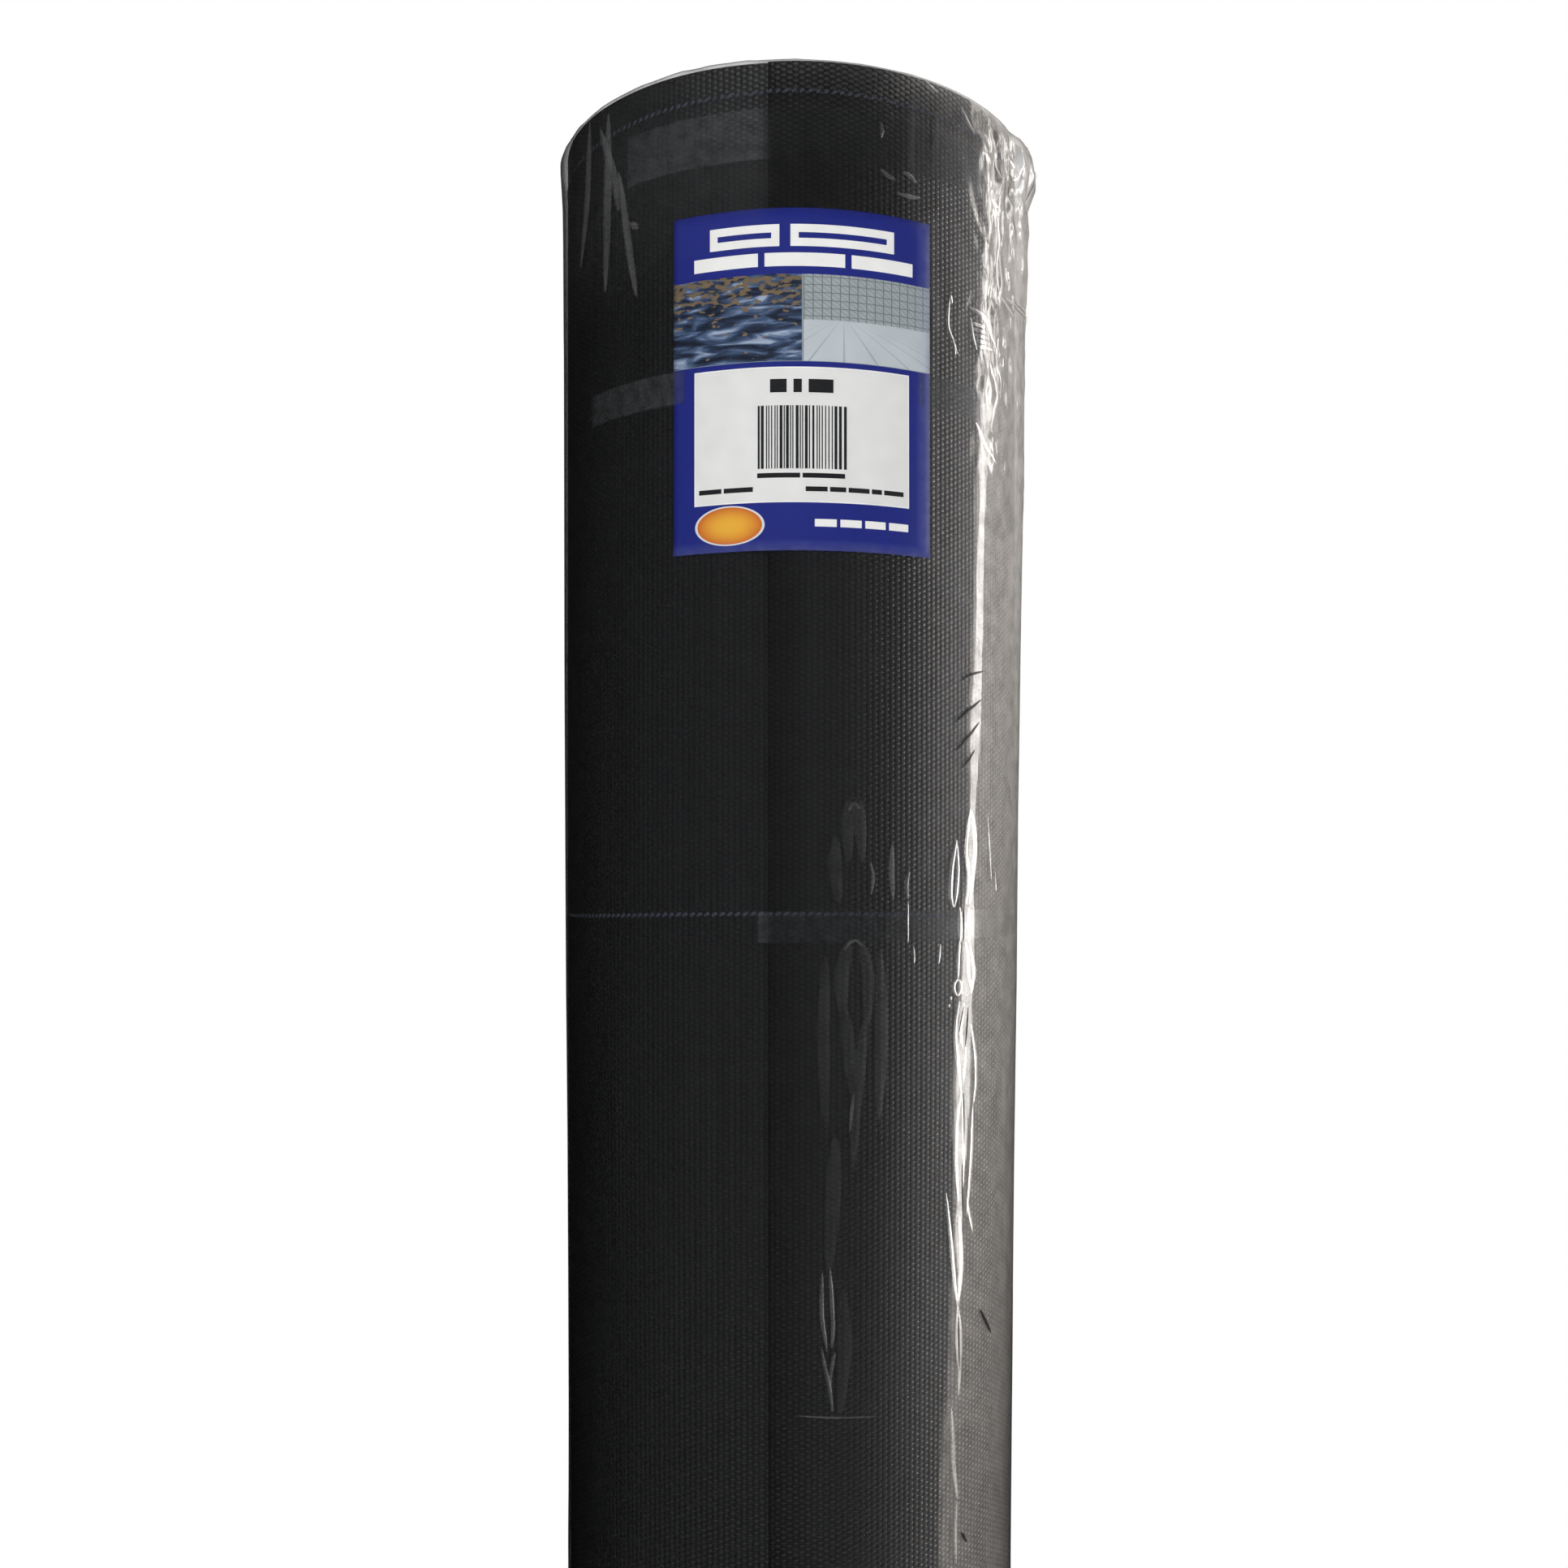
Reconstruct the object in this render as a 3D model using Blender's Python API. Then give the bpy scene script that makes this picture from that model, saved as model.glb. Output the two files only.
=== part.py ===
"""Roll of woven ground fabric, standing on end in a clear film sleeve.

Metres, +Z up. The origin is the centre of the sleeve's lower end, on which the roll stands.
An angle goes round from the front, -Y, towards +X. Travel is the angle round from the web's
free edge, so the outer lap is at zero there and goes inwards as travel grows.
"""

import math

import bmesh
import bpy
from mathutils import Vector

for old_object in list(bpy.data.objects):
    bpy.data.objects.remove(old_object, do_unlink=True)

FULL_TURN = 2 * math.pi

# Web: flat tape yarns woven to a cloth of 108 g per square metre, 6 ft wide and 300 ft long
WEB_WIDTH = 1.8288
WEB_LENGTH = 91.44
WOUND_PLY = 0.000243
OUTER_LAPS = 4
LAP_THICKNESS = 0.0006
LAP_GAP = 0.00045
FREE_EDGE_ANGLE = math.radians(-5.6)

# Cardboard core, with a 3 in bore
CORE_BORE = 0.0762
CORE_WALL = 0.004

# Strip that holds the first ply on the core
START_TAPE_WIDTH = 0.05
START_TAPE_END_INSET = 0.006
START_TAPE_ANGLE = math.radians(170)

# Coloured marker yarns, woven in a foot apart, the first just under the top selvage
MARKER_COUNT = 6
MARKER_PITCH = 0.3048
MARKER_WIDTH = 0.0016
MARKER_EDGE_INSET = 0.0127

# Clear tapes that hold the free edge down: a wide one at each end, and a narrow one just below the
# second and the last marker yarn
END_TAPE_WIDTH = 0.019
END_TAPE_BELOW_MARKER = 0.004
END_TAPE_LEFT_REACH = 0.061
END_TAPE_RIGHT_REACH = 0.106
MID_TAPE_WIDTH = 0.0115
MID_TAPE_BELOW_MARKER = 0.0033
MID_TAPE_LEFT_REACH = 0.004
MID_TAPE_RIGHT_REACH = 0.143

# Paper label, and the clear tapes over its two sides
LABEL_WIDTH = 0.1016
LABEL_HEIGHT = 0.127
LABEL_TOP_INSET = 0.0548
LABEL_CENTRE_ANGLE = math.radians(2.55)
LABEL_TAPE_WIDTH = 0.0123
LABEL_TAPE_LENGTH = 0.052
LABEL_TAPE_ON_LABEL = 0.005

# Clear film sleeve, drawn over both ends and tucked into the core
FILM_THICKNESS = 0.0005
FILM_TUCK = 0.06
FILM_END_GAP = 0.0004
BEND_STEPS = 3
SHOULDER_STEPS = 4

# Shared: the stand-in thickness of tapes, yarns and label, the gap between faces that touch
# on the real roll, the facets round a full turn, and the facets over which a strip comes down
# the step at the free edge
STRIP_THICKNESS = 0.0004
SEAT_GAP = 0.0003
FACETS = 48
STEP_FACETS = 2

# Radii, from the bore outwards
core_inner_radius = CORE_BORE / 2
core_outer_radius = core_inner_radius + CORE_WALL
start_tape_radius = core_outer_radius + SEAT_GAP
web_inner_radius = start_tape_radius + STRIP_THICKNESS + SEAT_GAP
web_outer_radius = math.sqrt(web_inner_radius**2 + WEB_LENGTH * WOUND_PLY / math.pi)
strip_rise = SEAT_GAP + STRIP_THICKNESS
film_inner_radius = web_outer_radius + 2 * strip_rise + SEAT_GAP

# Heights
web_bottom = FILM_THICKNESS + FILM_END_GAP
web_top = web_bottom + WEB_WIDTH

# Angles
facet_angle = FULL_TURN / FACETS
lap_pitch = LAP_THICKNESS + LAP_GAP


def material(name, colour, roughness, alpha=1.0):
    """Principled material from an sRGB hex colour."""
    made = bpy.data.materials.new(name)
    made.use_nodes = True
    shader = made.node_tree.nodes["Principled BSDF"]
    parts = [int(colour[at : at + 2], 16) / 255 for at in (0, 2, 4)]
    linear = [part / 12.92 if part <= 0.04045 else ((part + 0.055) / 1.055) ** 2.4 for part in parts]
    shader.inputs["Base Color"].default_value = (*linear, 1.0)
    shader.inputs["Roughness"].default_value = roughness
    shader.inputs["Metallic"].default_value = 0.0
    shader.inputs["Alpha"].default_value = alpha
    made.diffuse_color = (*linear, alpha)
    made.roughness = roughness
    return made


def solid(name, shape, finish):
    """Turns a closed bmesh into a named object, smooth on its round faces."""
    bmesh.ops.recalc_face_normals(shape, faces=shape.faces)
    mesh = bpy.data.meshes.new(name)
    shape.to_mesh(mesh)
    shape.free()
    mesh.shade_smooth()
    mesh.set_sharp_from_angle(angle=math.radians(30))
    mesh.materials.append(finish)
    made = bpy.data.objects.new(name, mesh)
    bpy.context.collection.objects.link(made)
    return made


def at_facet_edge(facet, radius, height):
    """Point on the facet edge of this number, counted round from the free edge."""
    angle = FREE_EDGE_ANGLE + facet * facet_angle
    return Vector((radius * math.sin(angle), -radius * math.cos(angle), height))


def on_facets(travel, radius_at, height):
    """Point at this travel on the flat facets that all pieces share, so that no two bite."""
    facet = math.floor(travel / facet_angle)
    share = travel / facet_angle - facet
    near = at_facet_edge(facet, radius_at(facet * facet_angle), height)
    if share == 0:
        return near
    far = at_facet_edge(facet + 1, radius_at((facet + 1) * facet_angle), height)
    return near.lerp(far, share)


def raised(shape, height):
    """Extrudes the flat faces of a bmesh upwards into a closed solid."""
    made = bmesh.ops.extrude_face_region(shape, geom=shape.faces[:])
    points = [item for item in made["geom"] if isinstance(item, bmesh.types.BMVert)]
    bmesh.ops.translate(shape, verts=points, vec=Vector((0, 0, height)))
    return shape


def strip(name, start, end, bottom, height, radius_at, finish):
    """Thin band bent round the roll, from travel start to travel end, lying on radius_at."""
    first_edge = math.floor(start / facet_angle) + 1
    last_edge = math.ceil(end / facet_angle) - 1
    between = [facet * facet_angle for facet in range(first_edge, last_edge + 1)]
    shape = bmesh.new()
    rows = []
    for travel in [start, *between, end]:
        inner = on_facets(travel, radius_at, bottom)
        outer = on_facets(travel, lambda at: radius_at(at) + STRIP_THICKNESS, bottom)
        rows.append((shape.verts.new(inner), shape.verts.new(outer)))
    for near, far in zip(rows, rows[1:]):
        shape.faces.new((near[0], near[1], far[1], far[0]))
    return solid(name, raised(shape, height), finish)


def web_radius(travel):
    """Outer radius of the wound web, travel radians in from its free edge."""
    return web_outer_radius - lap_pitch * travel / FULL_TURN


def seat_radius(travel):
    """Radius of a strip on the web. Left of the free edge it comes down onto the lap below."""
    if travel >= 0:
        return web_radius(travel) + SEAT_GAP
    down = min(1.0, -travel / (STEP_FACETS * facet_angle))
    return web_radius(FULL_TURN + travel) + lap_pitch * (1 - down) + SEAT_GAP


def over_strip_radius(travel):
    """Radius of a strip that lies on another strip."""
    return seat_radius(travel) + strip_rise


# Core tube: a plain spiral-wound cardboard tube, as long as the web is wide
cardboard = material("cardboard", "b08d62", 0.85)
core = bmesh.new()
core_rows = []
for facet in range(FACETS):
    inner_point = core.verts.new(at_facet_edge(facet, core_inner_radius, web_bottom))
    outer_point = core.verts.new(at_facet_edge(facet, core_outer_radius, web_bottom))
    core_rows.append((inner_point, outer_point))
for near, far in zip(core_rows, core_rows[1:] + core_rows[:1]):
    core.faces.new((near[0], near[1], far[1], far[0]))
solid("core_tube", raised(core, WEB_WIDTH), cardboard)

# Start tape: one strip along the core, under the first ply
paper_tape = material("paper_tape", "cdb98f", 0.7)
start_tape_centre = START_TAPE_ANGLE - FREE_EDGE_ANGLE
start_tape_half = START_TAPE_WIDTH / start_tape_radius / 2
strip(
    "core_start_tape",
    start_tape_centre - start_tape_half,
    start_tape_centre + start_tape_half,
    web_bottom + START_TAPE_END_INSET,
    WEB_WIDTH - 2 * START_TAPE_END_INSET,
    lambda travel: start_tape_radius,
    paper_tape,
)

# Woven web: the plies next to the core are one plain body, which the outer laps wind onto
# in one unbroken spiral, so that the free edge stands as a step down the front of the roll
woven_black = material("woven_black", "1d1e1f", 0.55)
lap_facets = OUTER_LAPS * FACETS
web = bmesh.new()
lap_rows = []
for facet in range(lap_facets + 1):
    lap_outer = web_radius(facet * facet_angle)
    inner_point = web.verts.new(at_facet_edge(facet, lap_outer - LAP_THICKNESS, web_bottom))
    outer_point = web.verts.new(at_facet_edge(facet, lap_outer, web_bottom))
    lap_rows.append((inner_point, outer_point))
for near, far in zip(lap_rows, lap_rows[1:]):
    web.faces.new((near[0], near[1], far[1], far[0]))
body_inner = []
for facet in range(FACETS):
    body_inner.append(web.verts.new(at_facet_edge(facet, web_inner_radius, web_bottom)))
body_outer = []
for facet in range(1, FACETS + 1):
    body_radius = web_radius((lap_facets + facet) * facet_angle)
    body_outer.append(web.verts.new(at_facet_edge(facet, body_radius, web_bottom)))
slot_end = body_outer[-1]
web.faces.new((body_inner[0], slot_end, *lap_rows[-1], body_outer[0], body_inner[1]))
for facet in range(1, FACETS):
    far_inner = body_inner[(facet + 1) % FACETS]
    web.faces.new((body_inner[facet], body_outer[facet - 1], body_outer[facet], far_inner))
solid("woven_web", raised(web, WEB_WIDTH), woven_black)


def distance_to_line(point, near, far):
    """Distance from a point to the straight line between two others, no further than its ends."""
    along = far - near
    share = (point - near).dot(along) / along.length_squared
    return (point - near.lerp(far, min(1.0, max(0.0, share)))).length


# The least gap between a lap and the one under it, point by point round the winding
lap_gaps = []
for facet in range(lap_facets):
    wall_point = at_facet_edge(facet, web_radius(facet * facet_angle) - LAP_THICKNESS, 0)
    for under in (facet + FACETS - 1, facet + FACETS):
        under_near = at_facet_edge(under, web_radius(under * facet_angle), 0)
        under_far = at_facet_edge(under + 1, web_radius((under + 1) * facet_angle), 0)
        lap_gaps.append(distance_to_line(wall_point, under_near, under_far))
print(f"woven_web: least gap between laps {min(lap_gaps) * 1000:.3f} mm")

# Marker yarns: each goes once round with the outer lap, from the free edge to just under it
# A narrower web has them closer, so that the last one keeps clear of the tape at the bottom
marker_violet = material("marker_violet", "4a4f78", 0.6)
end_tape_reach = MARKER_EDGE_INSET + END_TAPE_BELOW_MARKER + END_TAPE_WIDTH
marker_room = WEB_WIDTH - 2 * end_tape_reach - MID_TAPE_WIDTH
marker_pitch = min(MARKER_PITCH, marker_room / (MARKER_COUNT - 1))
marker_heights = []
for number in range(MARKER_COUNT):
    marker_heights.append(web_top - MARKER_EDGE_INSET - number * marker_pitch)
marker_end = FULL_TURN - SEAT_GAP / web_outer_radius
for number, marker_height in enumerate(marker_heights, 1):
    strip(
        f"marker_yarn_{number}",
        0.0,
        marker_end,
        marker_height - MARKER_WIDTH / 2,
        MARKER_WIDTH,
        lambda travel: web_radius(travel) + SEAT_GAP,
        marker_violet,
    )

# Free edge tapes. The middle ones cross a marker yarn, so they lie one strip higher
clear_tape = material("clear_tape", "8d8f92", 0.25, 0.35)
roll_middle = (web_bottom + web_top) / 2
top_tape_low = marker_heights[0] - MARKER_WIDTH / 2 - END_TAPE_BELOW_MARKER - END_TAPE_WIDTH
bottom_tape_low = 2 * roll_middle - top_tape_low - END_TAPE_WIDTH
upper_tape_low = marker_heights[1] - MID_TAPE_BELOW_MARKER - MID_TAPE_WIDTH / 2
lower_tape_low = marker_heights[-1] - MID_TAPE_BELOW_MARKER - MID_TAPE_WIDTH / 2
end_tape_span = (-END_TAPE_LEFT_REACH / web_outer_radius, END_TAPE_RIGHT_REACH / web_outer_radius)
mid_tape_span = (-MID_TAPE_LEFT_REACH / web_outer_radius, MID_TAPE_RIGHT_REACH / web_outer_radius)
free_edge_tapes = (
    ("free_edge_tape_top", end_tape_span, top_tape_low, END_TAPE_WIDTH, seat_radius),
    ("free_edge_tape_upper", mid_tape_span, upper_tape_low, MID_TAPE_WIDTH, over_strip_radius),
    ("free_edge_tape_lower", mid_tape_span, lower_tape_low, MID_TAPE_WIDTH, over_strip_radius),
    ("free_edge_tape_bottom", end_tape_span, bottom_tape_low, END_TAPE_WIDTH, seat_radius),
)
for tape_name, tape_span, tape_low, tape_width, tape_radius in free_edge_tapes:
    strip(tape_name, *tape_span, tape_low, tape_width, tape_radius, clear_tape)

# Label: a printed paper sheet laid round the front, across the free edge
label_blue = material("label_blue", "1d2a80", 0.4)
label_centre = LABEL_CENTRE_ANGLE - FREE_EDGE_ANGLE
label_half = LABEL_WIDTH / web_outer_radius / 2
label_left = label_centre - label_half
label_right = label_centre + label_half
label_low = web_top - LABEL_TOP_INSET - LABEL_HEIGHT
strip("roll_label", label_left, label_right, label_low, LABEL_HEIGHT, seat_radius, label_blue)

# Label tapes: half way up each side, over the label's edge and down onto the web
label_tape_low = label_low + (LABEL_HEIGHT - LABEL_TAPE_WIDTH) / 2
label_tape_on = LABEL_TAPE_ON_LABEL / web_outer_radius
label_tape_off = (LABEL_TAPE_LENGTH - LABEL_TAPE_ON_LABEL) / web_outer_radius
label_tape_ends = (
    ("label_tape_left", label_left - label_tape_off, label_left + label_tape_on),
    ("label_tape_right", label_right - label_tape_on, label_right + label_tape_off),
)
for tape_name, tape_start, tape_end in label_tape_ends:
    strip(
        tape_name,
        tape_start,
        tape_end,
        label_tape_low,
        LABEL_TAPE_WIDTH,
        over_strip_radius,
        clear_tape,
    )


def film_surface(rise):
    """Radius and height of the sleeve's section, rise outwards from the face next to the roll."""
    bend_radius = core_inner_radius - SEAT_GAP + FILM_END_GAP
    shoulder = film_inner_radius - web_outer_radius
    end_height = web_top - web_bottom
    points = [(bend_radius - FILM_END_GAP - rise, end_height - FILM_TUCK)]
    for step in range(BEND_STEPS + 1):
        turn = math.pi / 2 * step / BEND_STEPS
        reach = FILM_END_GAP + rise
        points.append((bend_radius - reach * math.cos(turn), end_height + reach * math.sin(turn)))
    for step in range(SHOULDER_STEPS + 1):
        turn = math.pi / 2 * step / SHOULDER_STEPS
        reach = shoulder + rise
        shoulder_height = end_height + FILM_END_GAP - shoulder
        points.append(
            (web_outer_radius + reach * math.sin(turn), shoulder_height + reach * math.cos(turn))
        )
    upper = [(radius, web_bottom + height) for radius, height in points]
    lower = [(radius, 2 * roll_middle - height) for radius, height in upper]
    return upper + lower[::-1]


# Film sleeve: one turned skin over the whole roll, open through the bore
clear_film = material("clear_film", "c9ccd0", 0.12, 0.22)
film = bmesh.new()
outline = film_surface(0.0) + film_surface(FILM_THICKNESS)[::-1]
section = []
for radius, height in outline:
    section.append(film.verts.new(at_facet_edge(0, radius, height)))
section_edges = []
for near, far in zip(section, section[1:] + section[:1]):
    section_edges.append(film.edges.new((near, far)))
bmesh.ops.spin(
    film,
    geom=section + section_edges,
    cent=Vector((0, 0, 0)),
    axis=Vector((0, 0, 1)),
    angle=FULL_TURN,
    steps=FACETS,
    use_merge=True,
)
solid("film_sleeve", film, clear_film)
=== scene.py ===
import math
import random

import bmesh
import bpy
import numpy as np
from mathutils import Matrix, Vector


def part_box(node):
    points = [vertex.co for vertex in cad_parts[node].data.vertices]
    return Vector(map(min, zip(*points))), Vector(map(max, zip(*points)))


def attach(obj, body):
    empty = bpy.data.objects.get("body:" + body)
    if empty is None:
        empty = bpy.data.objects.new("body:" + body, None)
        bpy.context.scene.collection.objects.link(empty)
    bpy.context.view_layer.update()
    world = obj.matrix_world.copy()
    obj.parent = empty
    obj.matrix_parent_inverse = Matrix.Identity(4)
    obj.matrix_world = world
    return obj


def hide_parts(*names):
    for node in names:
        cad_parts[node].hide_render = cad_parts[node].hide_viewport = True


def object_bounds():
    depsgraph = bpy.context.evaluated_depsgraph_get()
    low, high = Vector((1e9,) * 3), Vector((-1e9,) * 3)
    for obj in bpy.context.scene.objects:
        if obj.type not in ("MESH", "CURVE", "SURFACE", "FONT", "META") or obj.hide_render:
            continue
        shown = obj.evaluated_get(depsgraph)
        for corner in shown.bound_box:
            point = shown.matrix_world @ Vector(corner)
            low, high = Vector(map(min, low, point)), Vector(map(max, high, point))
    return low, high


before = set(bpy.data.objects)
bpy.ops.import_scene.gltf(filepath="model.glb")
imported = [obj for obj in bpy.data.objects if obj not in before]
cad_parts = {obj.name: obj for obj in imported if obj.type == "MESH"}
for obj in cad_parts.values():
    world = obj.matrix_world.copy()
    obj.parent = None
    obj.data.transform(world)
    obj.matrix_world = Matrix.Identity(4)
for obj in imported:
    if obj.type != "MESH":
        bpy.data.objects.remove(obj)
cad_low, cad_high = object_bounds()

# Camera
# The roll is photographed from close by, a little below its upper end, and the picture
# is cropped to the upper third of it.
PICTURE_SIDE = 1932
FOCAL_PIXELS = 1894
SENSOR_WIDTH = 36
CAMERA_PLACE = Vector((-0.0055, -0.662, 1.531))
CAMERA_TILT = math.radians(0.47)
SHIFT_X, SHIFT_Y = 0.0037, 0.045

camera_data = bpy.data.cameras.new("camera")
camera_data.sensor_width = SENSOR_WIDTH
camera_data.lens = FOCAL_PIXELS / PICTURE_SIDE * SENSOR_WIDTH
camera_data.shift_x = SHIFT_X
camera_data.shift_y = SHIFT_Y
camera_data.dof.use_dof = False
camera = bpy.data.objects.new("camera", camera_data)
camera.location = CAMERA_PLACE
camera.rotation_euler = (math.radians(90) + CAMERA_TILT, 0, 0)
bpy.context.scene.collection.objects.link(camera)
bpy.context.scene.camera = camera

# Studio
# A pale floor in a white room. A tall warm panel stands to the right and slightly behind, and
# dark screens, which only reflections see, stand round the left and the front.
FULL_TURN = 2 * math.pi
WHITE_LIGHT = (1, 1, 1, 1)
SMOOTHLY = {"interpolation_type": "SMOOTHSTEP"}
ROOM_LIGHT = 0.5
FLOOR_RADIUS = 2.6
FLOOR_FADE = (0.4, 2.3)


def linear(colour):
    """sRGB hex colour to the linear values that a shader takes."""
    parts = [int(colour[at : at + 2], 16) / 255 for at in (0, 2, 4)]
    parts = [part / 12.92 if part <= 0.04045 else ((part + 0.055) / 1.055) ** 2.4 for part in parts]
    return (*parts, 1.0)


def add(tree, kind, inputs=(), **settings):
    """Adds a shader node with its settings. Its inputs come in order, or by their names or numbers.

    Each is a value, a socket, or a node, which stands for its first output in use."""
    node = tree.nodes.new(f"ShaderNode{kind}")
    for name, value in settings.items():
        setattr(node, name, value)
    for key, value in inputs.items() if isinstance(inputs, dict) else enumerate(inputs):
        if isinstance(value, bpy.types.Node):
            value = next(socket for socket in value.outputs if socket.enabled)
        if isinstance(value, bpy.types.NodeSocket):
            tree.links.new(value, node.inputs[key])
        else:
            node.inputs[key].default_value = value
    return node


def new_material(name, preview):
    """Material with an empty node tree. preview is its colour in a viewport."""
    made = bpy.data.materials.new(name)
    made.use_nodes = True
    made.diffuse_color = linear(preview)
    made.node_tree.nodes.clear()
    return made, made.node_tree


def finish_material(tree, surface):
    add(tree, "OutputMaterial", {"Surface": surface})


def new_object(name, shape, material):
    """Turns a bmesh into an object of one material."""
    mesh = bpy.data.meshes.new(name)
    shape.to_mesh(mesh)
    shape.free()
    mesh.materials.append(material)
    made = bpy.data.objects.new(name, mesh)
    bpy.context.scene.collection.objects.link(made)
    return made


bpy.context.scene.view_settings.view_transform = "Standard"

room = bpy.data.worlds.new("white_room")
room.use_nodes = True
room.cycles.sampling_method = "NONE"
bpy.context.scene.world = room
tree = room.node_tree
tree.nodes.clear()
sees = add(tree, "LightPath").outputs
shown = add(tree, "Math", (sees["Is Camera Ray"], sees["Is Transmission Ray"]), operation="MAXIMUM")
shown = add(tree, "Math", (shown, sees["Is Glossy Ray"]), operation="MAXIMUM")
strength = add(tree, "MapRange", {"Value": shown, "To Min": ROOM_LIGHT})
white = add(tree, "Background", {"Color": WHITE_LIGHT, "Strength": strength})
add(tree, "OutputWorld", {"Surface": white})

# The floor keeps the roll's shadow, and fades out into the white room further off.
painted, tree = new_material("painted_floor", "f2f1ef")
matt_paint = {"Base Color": linear("f4f4f2"), "Roughness": 0.8, "Specular IOR Level": 0.2}
distance = add(tree, "VectorMath", (add(tree, "TexCoord").outputs["Object"],), operation="LENGTH")
fade = add(tree, "MapRange", (distance, *FLOOR_FADE), **SMOOTHLY)
seen = add(tree, "LightPath").outputs["Is Camera Ray"]
fading = add(tree, "Math", (fade, seen), operation="MULTIPLY")
room_white = add(tree, "Emission", {"Color": WHITE_LIGHT, "Strength": 1.0})
mixed = add(tree, "MixShader", (fading, add(tree, "BsdfPrincipled", matt_paint), room_white))
finish_material(tree, mixed)
floor_shape = bmesh.new()
bmesh.ops.create_circle(floor_shape, cap_ends=True, segments=128, radius=FLOOR_RADIUS)
new_object("floor", floor_shape, painted)

# Felt screens stand all round, far off, and a felt mat lies on the floor. Only reflections see them:
# they are near black on the left and in front, and grey on the right, like the room in the photo.
SCREEN_RADIUS = 3.2
SCREEN_HEIGHT = 14.0
SCREEN_STEPS = 96
MAT_RADIUS = 0.12
MAT_HEIGHT = 0.004
MAT_FADE = (0.1, 1.5)
# Tone by bearing in degrees: 0 is the front, 90 the right. The pale wall's edge leans with the lamp.
PALE_WALL = 94
TONES = (
    (-180, 0.03), (-150, 0.012), (-90, 0.012), (-30, 0.040), (20, 0.036), (48, 0.05), (61, 0.19),
    (70, 0.33), (80, 0.47), (93, 0.64), (95, 3.1), (112, 2.2), (125, 1.55), (140, 1.1), (160, 0.40),
    (180, 0.03),
)
COOL, WARM = (1, 1, 1.02), (1, 0.94, 0.88)
LEAN_FROM, LEAN_TO = 1.7, 2.8
LEAN_BEARING = math.radians(9.4)


def spun(profile, steps, closed=False):
    """Profile of radii and heights, spun once round the roll's axis."""
    shape = bmesh.new()
    points = [shape.verts.new((radius, 0, height)) for radius, height in profile]
    ends = points[1:] + points[:1] if closed else points[1:]
    runs = [shape.edges.new(pair) for pair in zip(points, ends)]
    axis = {"cent": (0, 0, 0), "axis": (0, 0, 1), "angle": FULL_TURN}
    bmesh.ops.spin(shape, geom=points + runs, steps=steps, use_merge=True, **axis)
    return shape


def bearing_of(tree, split):
    """Angle round the roll's axis in radians, from the front, -Y, towards +X."""
    back = add(tree, "Math", (split["Y"], -1.0), operation="MULTIPLY")
    return add(tree, "Math", (split["X"], back), operation="ARCTAN2")


def fill_ramp(ramp, stops):
    """Gives a colour ramp its stops, each a place from 0 to 1 and a linear colour."""
    while len(ramp.elements) < len(stops):
        ramp.elements.new(0.5)
    for stop, (place, colour) in zip(ramp.elements, stops):
        stop.position = place
        stop.color = colour


felt, tree = new_material("wool_felt", "101214")
place = add(tree, "TexCoord").outputs["Object"]
split = add(tree, "SeparateXYZ", (place,)).outputs
risen = add(tree, "Math", (split["Z"], LEAN_TO), operation="MINIMUM")
risen = add(tree, "Math", (risen, LEAN_FROM), operation="SUBTRACT")
lean = add(tree, "Math", (risen, LEAN_BEARING), operation="MULTIPLY")
leaning = add(tree, "Math", (bearing_of(tree, split), lean), operation="SUBTRACT")
round_tone = add(tree, "ValToRGB", (add(tree, "MapRange", (leaning, -math.pi, math.pi)),))
stops = []
for degrees, level in TONES:
    tint = WARM if degrees > PALE_WALL else COOL
    stops.append(((degrees + 180) / 360, (*[level * part for part in tint], 1)))
fill_ramp(round_tone.color_ramp, stops)
# The screens are darker low down, most of all left of the pale wall's edge.
lowest = add(tree, "MapRange", (leaning, math.radians(90), math.radians(96), 0.28, 0.5))
height_share = add(tree, "MapRange", {"Value": split["Z"], "From Max": 2.2})
height_share = add(tree, "Math", (height_share, 0.6), operation="POWER")
strength = add(tree, "MapRange", {"Value": height_share, "To Min": lowest})
glow = add(tree, "Emission", {"Color": round_tone, "Strength": strength})
# The mat thins out towards the roll, so that the roll's foot mirrors the pale floor.
distance = add(tree, "VectorMath", (place,), operation="LENGTH")
mat_share = add(tree, "MapRange", (distance, *MAT_FADE), **SMOOTHLY)
finish_material(tree, add(tree, "MixShader", (mat_share, add(tree, "BsdfTransparent"), glow)))
felt.cycles.emission_sampling = "NONE"
profile = ((MAT_RADIUS, MAT_HEIGHT), (SCREEN_RADIUS, MAT_HEIGHT), (SCREEN_RADIUS, SCREEN_HEIGHT))
screens = new_object("felt_screens", spun(profile, SCREEN_STEPS), felt)
for kind in ("camera", "diffuse", "shadow", "transmission", "volume_scatter"):
    setattr(screens, f"visible_{kind}", False)


def panel_light(name, bearing, height, distance, width, tall, power, colour, aim, lean=0.0):
    """Rectangular soft light, aimed at a height on the roll's axis."""
    data = bpy.data.lights.new(name, "AREA")
    data.shape = "RECTANGLE"
    data.size = width
    data.size_y = tall
    data.energy = power
    data.color = linear(colour)[:3]
    lamp = bpy.data.objects.new(name, data)
    where = Vector((distance * math.sin(bearing), -distance * math.cos(bearing), height))
    lamp.location = where
    turn = (Vector((0, 0, aim)) - where).to_track_quat("-Z", "Y").to_matrix()
    lamp.rotation_euler = (turn @ Matrix.Rotation(lean, 3, "Z")).to_euler()
    lamp.visible_camera = False
    bpy.context.scene.collection.objects.link(lamp)
    return lamp


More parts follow.
